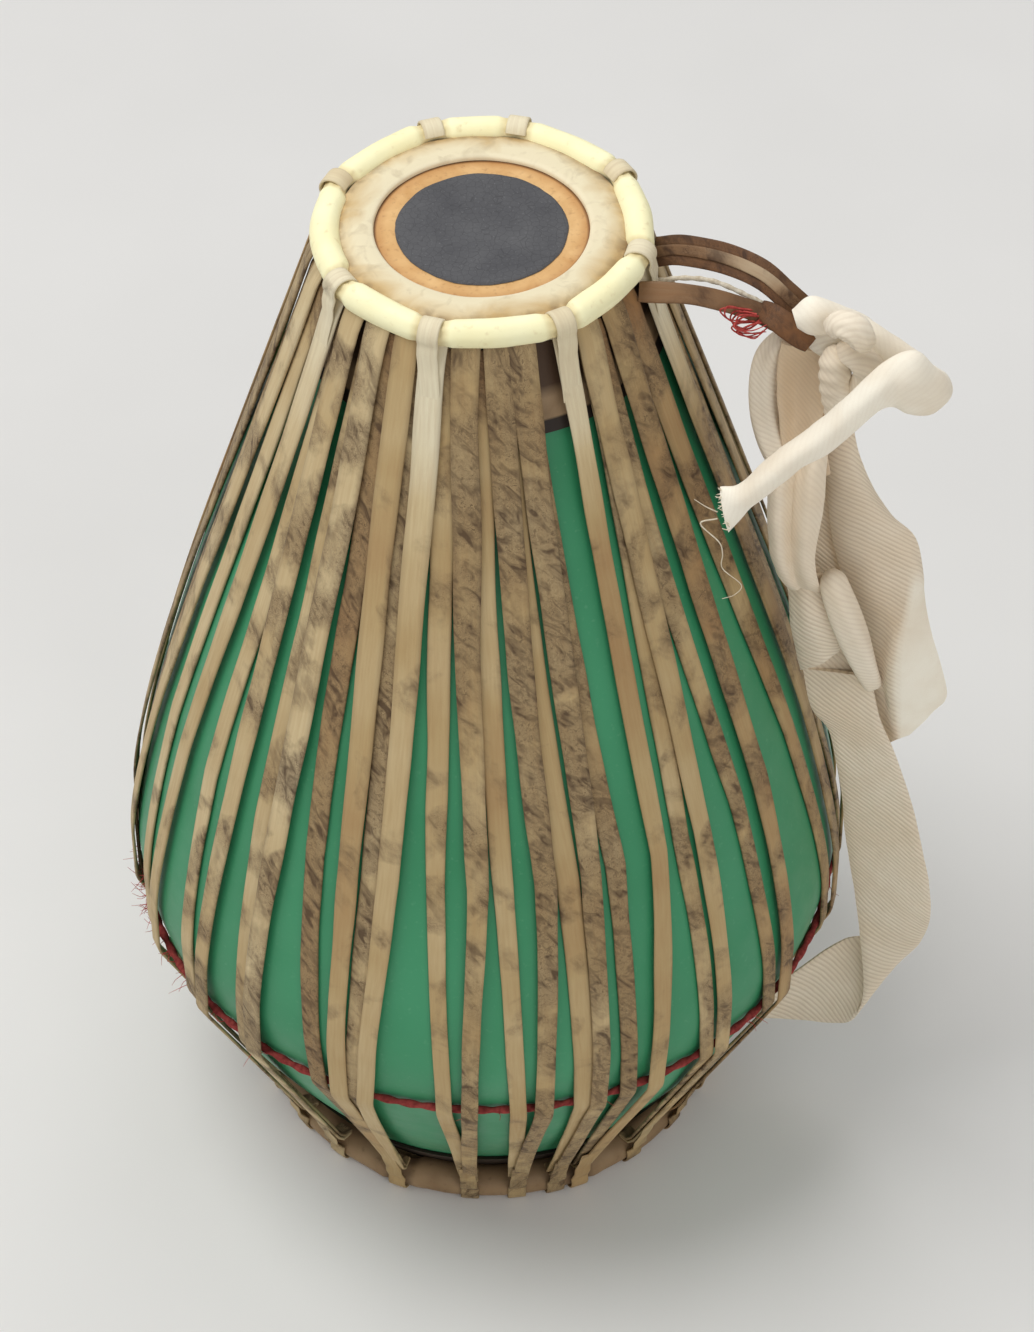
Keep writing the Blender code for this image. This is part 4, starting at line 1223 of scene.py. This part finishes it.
def build_laces():
    """Long laces that run up in the outer layer, fold over, and come down in the inner one."""
    table = strand_table()
    tops = [row.top for row in table]
    ends = offset(TAUT_PATH, 0)
    top_in = (TAUT_PATH[0] - TAUT_PATH[1]).normalized()
    low_in = (TAUT_PATH[-1] - TAUT_PATH[-2]).normalized()
    for count in range(len(table) // STRANDS_PER_LACE):
        first = count * STRANDS_PER_LACE
        run = []
        for strand in range(first, first + STRANDS_PER_LACE):
            outer = strand % 2 == 0
            apart = min(abs(turn_between(wrap, tops[strand])) for wrap in SMALL_END.wraps)
            places = strand_places(strand, table)
            if outer:
                both = (tops[strand], 2 * partner_mean(tops, strand, True) - tops[strand])
                fold = fold_places(*ends[0], top_in, both, INNER_TOP_WIDTH, True, 0.0)
                places = places[::-1] + fold
            elif strand < first + STRANDS_PER_LACE - 1:
                both = (foot_fold(table, strand),) * 2
                places += fold_places(*ends[-1], low_in, both, LACE_END_WIDTH, False, PATH_LENGTHS[-1])
            from_wrap = outer and apart < WRAP_NEAR
            run += [(place, faded(table[strand].look, place[-1], from_wrap, not outer)) for place in places]
        lace_piece(f"lace_strip_{count + 1}", f"lace_{count + 1}", run)


def lace_piece(name, node, run):
    rings, alongs, widths, tints = [], [], [], []
    for (radius, height, bearing, facing, width, lean, along), look in run:
        up = polar(facing.x, bearing, facing.y)
        side = (tangent(bearing) + up * lean).normalized()
        rings.append(strip_ring(polar(radius, bearing, height), side, up, width, LACE))
        alongs.append(along)
        widths.append(width)
        tints += [look] * len(rings[-1])
    body(name, rings, LOOKS["lace"], strip_uv(alongs, widths), tints, node)


# Thongs and string


def sight(u, z, toward):
    """A point by its place in the strap's plane; moved towards the front it keeps its line of sight."""
    point = polar(u / MM, STRAP_BEARING, z / MM)
    line = Vector(CAMERA_PLACE) - point
    return point + line * (toward / MM / line.dot(-tangent(STRAP_BEARING)))


def hang(stand, toward, drop):
    """A point by its distance out from the laces, towards the front, and its drop below the small rim."""
    height = SMALL_RIM_Z - drop / MM
    out = polar(lace_reach(height) + THONG_STAND + stand / MM, STRAP_BEARING, height)
    return out - tangent(STRAP_BEARING) * (toward / MM)


def thong(name, route, shift, lift, width, tint, node=None, taper=0.0):
    """One leather strip beside a route, set off across it and along the way it faces."""
    across = FACING.cross(polar(1, STRAP_BEARING, 0)).normalized()
    line = smooth([point + across * shift + FACING * lift for point in route], THONG_STEPS)
    count, along = len(line), lengths(line)
    widths = [width * (1 + THONG_SWELL * uneven(far, tint[2], THONG_NOISE)) for far in along]
    shares = [abs(2 * far / along[-1] - 1) for far in along]
    widths = [wide * (1 - taper * share ** 3) for wide, share in zip(widths, shares)]
    thicks, tints = [THONG_THICK] * count, [tint] * count
    return strip(name, line, [FACING] * count, widths, thicks, LOOKS["thong"], tints, node=node), line


def build_thongs():
    """Leather strips, a string and loops of red thread from under the small edge ring to the knot."""
    tucked, _ = thong("thong_end", [sight(*place) for place in THONG_END], **THONG_END_LOOK)
    for name, route, shift, lift, width, tint, node in THONGS:
        made, line = thong(name, [hang(*place) for place in route], shift, lift, width, tint, node)
    line = smooth([hang(*place) for place in STRING_ROUTE], THONG_STEPS)

    def twist(share, turn):
        return STRING_RADIUS * (1 - STRING_PLY + STRING_PLY * math.cos(2 * turn - STRING_TWIST * share))

    rings = tube_rings(line, twist, STRING_SIDES)
    made = body("white_string", rings, LOOKS["string"], node="thong_string")
    draw = random.Random(12)
    lines = []
    for loop in THREAD_LOOPS * 2:
        places = [[part + draw.uniform(-THREAD_STRAY, THREAD_STRAY) for part in place] for place in loop]
        lines.append(smooth([sight(*place) for place in places], THREAD_STEPS))
    threads("red_thread", lines, THREAD_THICK, LOOKS["thread"])


# Strap


def grid_normals(grid):
    made = []
    for i, row in enumerate(grid):
        before, after = grid[max(i - 1, 0)], grid[min(i + 1, len(grid) - 1)]
        line = []
        for j in range(len(row)):
            left, right = row[max(j - 1, 0)], row[min(j + 1, len(row) - 1)]
            line.append((after[j] - before[j]).cross(right - left).normalized())
        made.append(line)
    return made


def cloth(name, rows, held, rests_on, steps, node=None, crumple=0.0005, ribbed=1.0, wear_and_shade=0.4, painted_light=None):
    """A strip of twill through rows of places across it, thickened both ways and slightly crumpled."""
    wide = [smooth([sight(*place) for place in row], steps[1]) for row in rows]
    grid = list(zip(*[smooth(column, steps[0]) for column in zip(*wide)]))
    along = lengths([row[len(row) // 2] for row in grid])
    rings, uv, tints = [], [], []
    for row, ups, far in zip(grid, grid_normals(grid), along):
        last = len(row) - 1
        over, under = [], []
        for place, (point, up) in enumerate(zip(row, ups)):
            half = CLOTH / 2 * CLOTH_EDGE[min(place, last - place, len(CLOTH_EDGE) - 1)]
            lift = crumple * sum(weight * noise.noise(point * scale) for scale, weight in CRUMPLES)
            over.append(point + up * (lift + half))
            under.append(point + up * (lift - half))
        rings.append(over + under[::-1])
        across = lengths(row)
        shares = [across[-1] / 2 - share for share in across]
        uv += [(far, share) for share in shares + shares[::-1]]
        # Painted light: where the given function marks a share, the cloth is less ribbed and less darkened,
        # so it shows lighter
        lit_share = [painted_light(far / along[-1], place / last) if painted_light else 0.0 for place in range(last + 1)]
        tints += [(ribbed * (1 - part), wear_and_shade * (1 - part), 0) for part in lit_share + lit_share[::-1]]
    made = body(name, rings, LOOKS["cotton"], uv, tints, node)


def roll(name, places, radii, folds, node=None, gathers=(0, 0.0), wear_and_shade=0.3):
    """Cloth bunched into a soft roll with closed ends: lengthwise folds round it, gathers along it."""
    line = smooth([sight(*place) for place in places], ROLL_STEPS)
    sizes = [size.x for size in smooth([Vector((radius / MM, 0)) for radius in radii], ROLL_STEPS)]
    along = lengths(line)
    rings, uv = [], []
    for centre, (across, over), far, size in zip(line, frames(line, FACING), along, sizes):
        near = min(far, along[-1] - far) / size
        size *= max(ROLL_TIP, math.sqrt(1 - (1 - min(near, 1.0)) ** 2))
        size *= 1 + gathers[1] * math.cos(2 * math.pi * gathers[0] * far / along[-1])
        ring = []
        for turn in turns(ROLL_SIDES):
            turn -= math.pi
            reach = size * (1 + folds[1] * math.cos(folds[0] * turn + ROLL_TWIST * far))
            flat = across * (ROLL_DEPTH * reach * math.cos(turn))
            ring.append(centre + flat + over * (reach * math.sin(turn)))
            uv.append((far, size * turn))
        rings.append(ring)
    tints = [(ROLL_RIBBED, wear_and_shade, 0)] * len(uv)
    made = body(name, rings, LOOKS["cotton"], uv, tints, node)


def swollen(profile, left, right, bulge, out=0.0):
    """One row of a strip between its two edges, raised by a profile towards the front and pushed out."""
    made = []
    for share, swell in profile:
        u, z, toward = [mix(a, b, share) for a, b in zip(left, right)]
        made.append((u + out * swell, z, toward + bulge * swell))
    return made


def build_knot():
    """The knot's core, and the roll of cloth and the lobe that show at its front."""
    core = ((136, 508, -4), (146, 507, -2), (158, 503, -2), (170, 498, -2))
    roll("knot_core", core, (6, 11, 12, 9), folds=(6, 0.06), node="strap_knot", wear_and_shade=0.0)
    knuckle = ((148, 506, 16), (153, 511, 18), (160, 509, 18), (165, 500, 16))
    roll("knot_knuckle", knuckle, (4, 5.8, 6.2, 4.5), folds=(7, 0.07), wear_and_shade=0.1)
    lobe = ((152, 499, 10), (163, 495, 12), (167, 487, 12), (161, 473, 10))
    roll("knot_lobe", lobe, (4.5, 6.5, 6.8, 4.5), folds=(4, 0.06))


def build_tail():
    """The strap's free end: over the knot, round a fold, and back in front to a frayed end."""
    edges = (
        ((133, 514, 6), (136, 506, 9), 3), ((140, 523, 3), (141, 503, 10), 5),
        ((151, 521, 1), (150, 505, 9), 5), ((164, 516, 0), (160, 499, 8), 5),
        ((178, 509, 0), (172, 488, 8), 5), ((189, 501, 2), (183, 478, 8), 5, 1),
        ((194, 496, 9), (190, 473, 14), 4, 6), ((194, 495, 19), (190, 470, 24), 4, 7),
        ((186, 503, 25), (184, 469, 32), 6, 1), ((177.5, 499.5, 28), (178, 471, 34), 6),
        ((169, 489, 32), (172.5, 468, 38), 6), ((158.6, 472.7, 36), (164.5, 457, 41), 6),
        ((145.7, 453.7, 41), (151.8, 438.4, 46), 6), ((131.9, 435.9, 47), (139.9, 425.5, 52), 6),
        ((120.5, 419, 53), (128.5, 411, 58), 5), ((113.5, 409, 57), (120.5, 398.5, 61), 4),
        ((106.4, 407.2, 59), (111, 381.6, 64), 2),
    )
    rows = [swollen(CURL, *edge) for edge in edges]
    looks = {"crumple": 0.0009, "ribbed": 0.12, "wear_and_shade": 0.0}
    cloth("strap_tail_cloth", rows, "folded", ["knot_core"], steps=(6, 4), node="strap_tail", **looks)
    draw = random.Random(21)
    lines = []
    for count in range(FRAY_COUNT):
        start = FRAY_TOP.lerp(FRAY_LOW, count / (FRAY_COUNT - 1))
        tip = start + Vector([draw.uniform(*limits) for limits in FRAY_REACH])
        middle = (start + tip) / 2 + Vector((0, draw.uniform(-FRAY_BEND, FRAY_BEND), FRAY_BEND))
        lines.append(smooth([sight(*start), sight(*middle), sight(*tip)], FRAY_STEPS))
    lines += [smooth([sight(*place) for place in loose], THREAD_STEPS) for loose in TAIL_THREADS]
    threads("strap_tail_fray", lines, FRAY_THICK, LOOKS["fray"])


def build_loop():
    """The hanging loop: a bulging left side, a hollow middle, gathered pleats on the right, and its back."""
    left = (
        (132, 501, 0), (124.5, 487, 0), (123, 470, 0), (124.5, 452, 1), (130, 434, 3), (139, 420, 4),
    )
    roll("loop_left", left, (5, 6.2, 6.8, 6.6, 6, 5), folds=(5, 0.08))
    panel = (
        ((129, 495, 8), (140, 495, 4), (151, 495, 8)), ((128, 482, 6), (138, 484, 0), (149, 484, 8)),
        ((129, 464, 6), (138, 465, 0), (149, 465, 8)), ((131, 447, 6), (139, 446, 1), (150, 447, 8)),
        ((133, 432, 6), (141, 432, 2), (152, 436, 6)), ((131, 418, 5), (142, 421, 4), (154, 427, 4)),
    )
    # The hollow panel takes the full darker tone: painted shade in the hollow, with some wear
    looks = {"crumple": 0.0012, "ribbed": 0.4, "wear_and_shade": 1.0}
    cloth("loop_panel", panel, "hung", ["knot_core"], steps=(7, 9), node="strap_loop", **looks)
    pleats = ((151, 499, 10), (152, 488, 12), (153, 476, 12), (155, 463, 10), (157, 448, 6))
    roll("loop_pleats", pleats, (5, 6.2, 6.2, 5.5, 4.5), folds=(4, 0.05), gathers=(8, 0.07))
    back = (
        ((134, 500, -10), (146, 500, -13), (158, 498, -10)),
        ((127, 470, -10), (144, 470, -15), (160, 468, -12)),
        ((129, 440, -10), (145, 440, -15), (161, 440, -14)),
        ((131, 410, -10), (146, 411, -15), (162, 412, -16)),
        ((135, 380, -10), (151, 380, -14), (168, 380, -17)),
        ((140, 350, -8), (158, 350, -12), (177, 350, -17)),
        ((146, 320, -6), (165, 321, -9), (183, 322, -15)), ((151, 298, -4), (166, 299, -6), (180, 300, -8)),
    )
    cloth("loop_back", back, "hung", ["knot_core"], steps=(6, 6), crumple=0.0010)


def build_hitch():
    """The hitch under the loop: a pleated front, a second layer below it, and a rolled fold beside that."""
    front = (
        ((132, 428, 3), (150, 446, 3), 2), ((130, 423, 7), (152, 436, 6), 4),
        ((128, 414, 10), (152, 423, 9), 5), ((128, 401, 12), (152, 405, 11), 5),
        ((129, 387, 13), (151, 388, 12), 5), ((131, 372, 13), (150.5, 373, 12), 4),
        ((135, 360, 10), (153, 360, 9), 3), ((140, 353.5, 4), (155, 356, 3), 2),
        ((141, 356, -2), (155, 358, -3), 1), ((139, 368, -5), (153, 370, -5), 1),
    )
    rows = [swollen(PLEATS, *edge) for edge in front]
    looks = {"crumple": 0.0008, "ribbed": 0.3}
    cloth("hitch_front", rows, "folded", ["loop_panel"], steps=(6, 5), node="strap_hitch", **looks)
    layer = (
        ((137, 362, 2), (146, 364, 4), (155, 366, 2)), ((140, 350, 4), (148, 351, 7), (157, 352, 4)),
        ((142, 334, 5), (151, 336, 9), (161, 341, 5)), ((145, 317, 4), (155, 322, 8), (165, 329, 4)),
        ((148, 303, 2), (157, 310, 5), (166, 322, 2)),
    )
    cloth("hitch_layer", layer, "folded", ["hitch_front"], steps=(7, 9), crumple=0.0008)
    fold = (
        (157.5, 370, 2), (160.5, 359, 7), (165, 346, 8), (170.5, 331, 7), (176, 316, 3), (182, 301, -6),
    )
    roll("hitch_fold", fold, (5, 6.2, 7, 7, 6, 4.5), folds=(4, 0.07))


def build_flap():
    """The loose flap beside the hitch, its lower corner turned back along a crease, with painted light on
    that corner.
    """
    def corner(along, across):
        return ease((across - CORNER_ACROSS) / CORNER_RUN) * ease((along - CORNER_ALONG) / CORNER_RUN)

    rows = (
        ((146, 460, -8), (151, 461, -6), (156, 462, -6), (161, 462, -8)),
        ((150, 436, -9), (155, 439, -6), (160, 442, -6), (165, 443, -9)),
        ((153, 418, -10), (159, 423, -6), (166, 426, -6), (172, 425, -10)),
        ((156, 400, -10), (165, 407, -6), (174, 411, -6), (182, 409, -10)),
        ((159, 383, -10), (170, 391, -5), (182, 396, -5), (193, 399, -9)),
        ((165, 363, -10), (177, 370, -5), (193, 378, -4), (198, 380, -7)),
        ((170, 346, -11), (182, 352, -6), (193.5, 357, -2), (201, 359, -7)),
        ((173, 329, -11), (184, 333, -6), (191.5, 337, -1), (205, 342, -9)),
        ((174, 313, -11), (185, 316, -6), (191, 318, -1), (211, 323, -11)),
        ((176, 297, -11), (187, 299, -6), (192, 302, -1), (215, 304, -12)),
        ((180, 281, -10), (189, 283, -6), (194, 287, -2), (209, 291, -10)),
        ((187, 264, -9), (192, 267, -6), (196, 271, -4), (202, 277, -6)),
    )
    looks = {"crumple": 0.0007, "wear_and_shade": 0.5, "painted_light": corner}
    cloth("strap_flap_cloth", rows, "hung", ["hitch_front"], steps=(6, 6), node="strap_flap", **looks)


def build_band():
    """The long band from the hitch down past the belly, turned back under to its tie on the laces."""
    edges = (
        ((149, 305, -4), (180, 308, -4)), ((154.5, 280, 0), (186, 282, 0)), ((163, 268, 1), (193, 264, 2)),
        ((168, 248, 2), (199, 247, 3)), ((173, 221, 2), (206.5, 223, 4)), ((175, 203, 2), (212.5, 198, 4)),
        ((179, 180, 2), (218, 173, 4)), ((183.5, 155, 1), (220.5, 150, 3)),
        ((189, 118, -1), (218.5, 135, 1)), ((192.5, 83, -3), (214, 124, -3)),
        ((189, 60, -6), (206, 122, -7)), ((180, 54, -10), (197, 124, -10)),
        ((168, 52, -12), (186, 124, -11)), ((154, 49, -10), (174, 112, -9)), ((140, 45, -2), (148, 73, -3)),
    )
    rows = [[Vector(left).lerp(Vector(right), share) for share in BAND_ROW] for left, right in edges]
    cloth("strap_band_cloth", rows, "hung", ["hitch_layer"], steps=(8, 6), node="strap_band")


# Stage


def put_in(name, data):
    made = bpy.data.objects.new(name, data)
    bpy.context.scene.collection.objects.link(made)
    return made


def build_stage():
    """A pale floor, soft studio light and the photograph's camera."""
    scene = bpy.context.scene
    scene.world = bpy.data.worlds.new("studio")
    scene.world.use_nodes = True
    light = scene.world.node_tree.nodes["Background"].inputs
    light["Color"].default_value = (1.0, 1.0, 1.0, 1.0)
    light["Strength"].default_value = WORLD_STRENGTH
    look = Finish("floor_pale", 0.2)
    colour = look.fade(look.noise(look.place, 4, 3), 0.3, 0.7, *FLOOR_TONES)
    mesh = bpy.data.meshes.new("floor")
    corners = [(x * FLOOR_HALF, y * FLOOR_HALF, 0) for x, y in ((-1, -1), (1, -1), (1, 1), (-1, 1))]
    mesh.from_pydata(corners, [], [(0, 1, 2, 3)])
    mesh.materials.append(look.end(colour, 0.8))
    floor = put_in("floor", mesh)
    for name, place, size, power in LAMPS:
        lamp = bpy.data.lights.new(name, "AREA")
        lamp.shape = "DISK"
        lamp.size = size
        lamp.energy = power
        made = put_in(name, lamp)
        made.location = place
        made.rotation_euler = (LAMP_AIM - Vector(place)).to_track_quat("-Z", "Y").to_euler()
    camera = bpy.data.cameras.new("camera")
    camera.sensor_width = SENSOR
    camera.lens = SENSOR * FOCAL_PIXELS / IMAGE_HEIGHT
    camera.shift_x = -CAMERA_SHIFT
    camera.shift_y = CAMERA_SHIFT
    scene.camera = put_in("camera", camera)
    scene.camera.location = CAMERA_PLACE
    scene.camera.rotation_euler = (math.radians(CAMERA_TILT), 0, 0)
    scene.view_settings.view_transform = "Standard"


def main():
    build_stage()
    build_shell()
    build_cord()
    for end in (SMALL_END, LARGE_END):
        build_skin(end)
        build_collar(end)
        build_patch(end)
        build_ring(end)
        build_wraps(end)
    build_laces()
    build_thongs()
    build_knot()
    build_tail()
    build_loop()
    build_hitch()
    build_flap()
    build_band()


main()
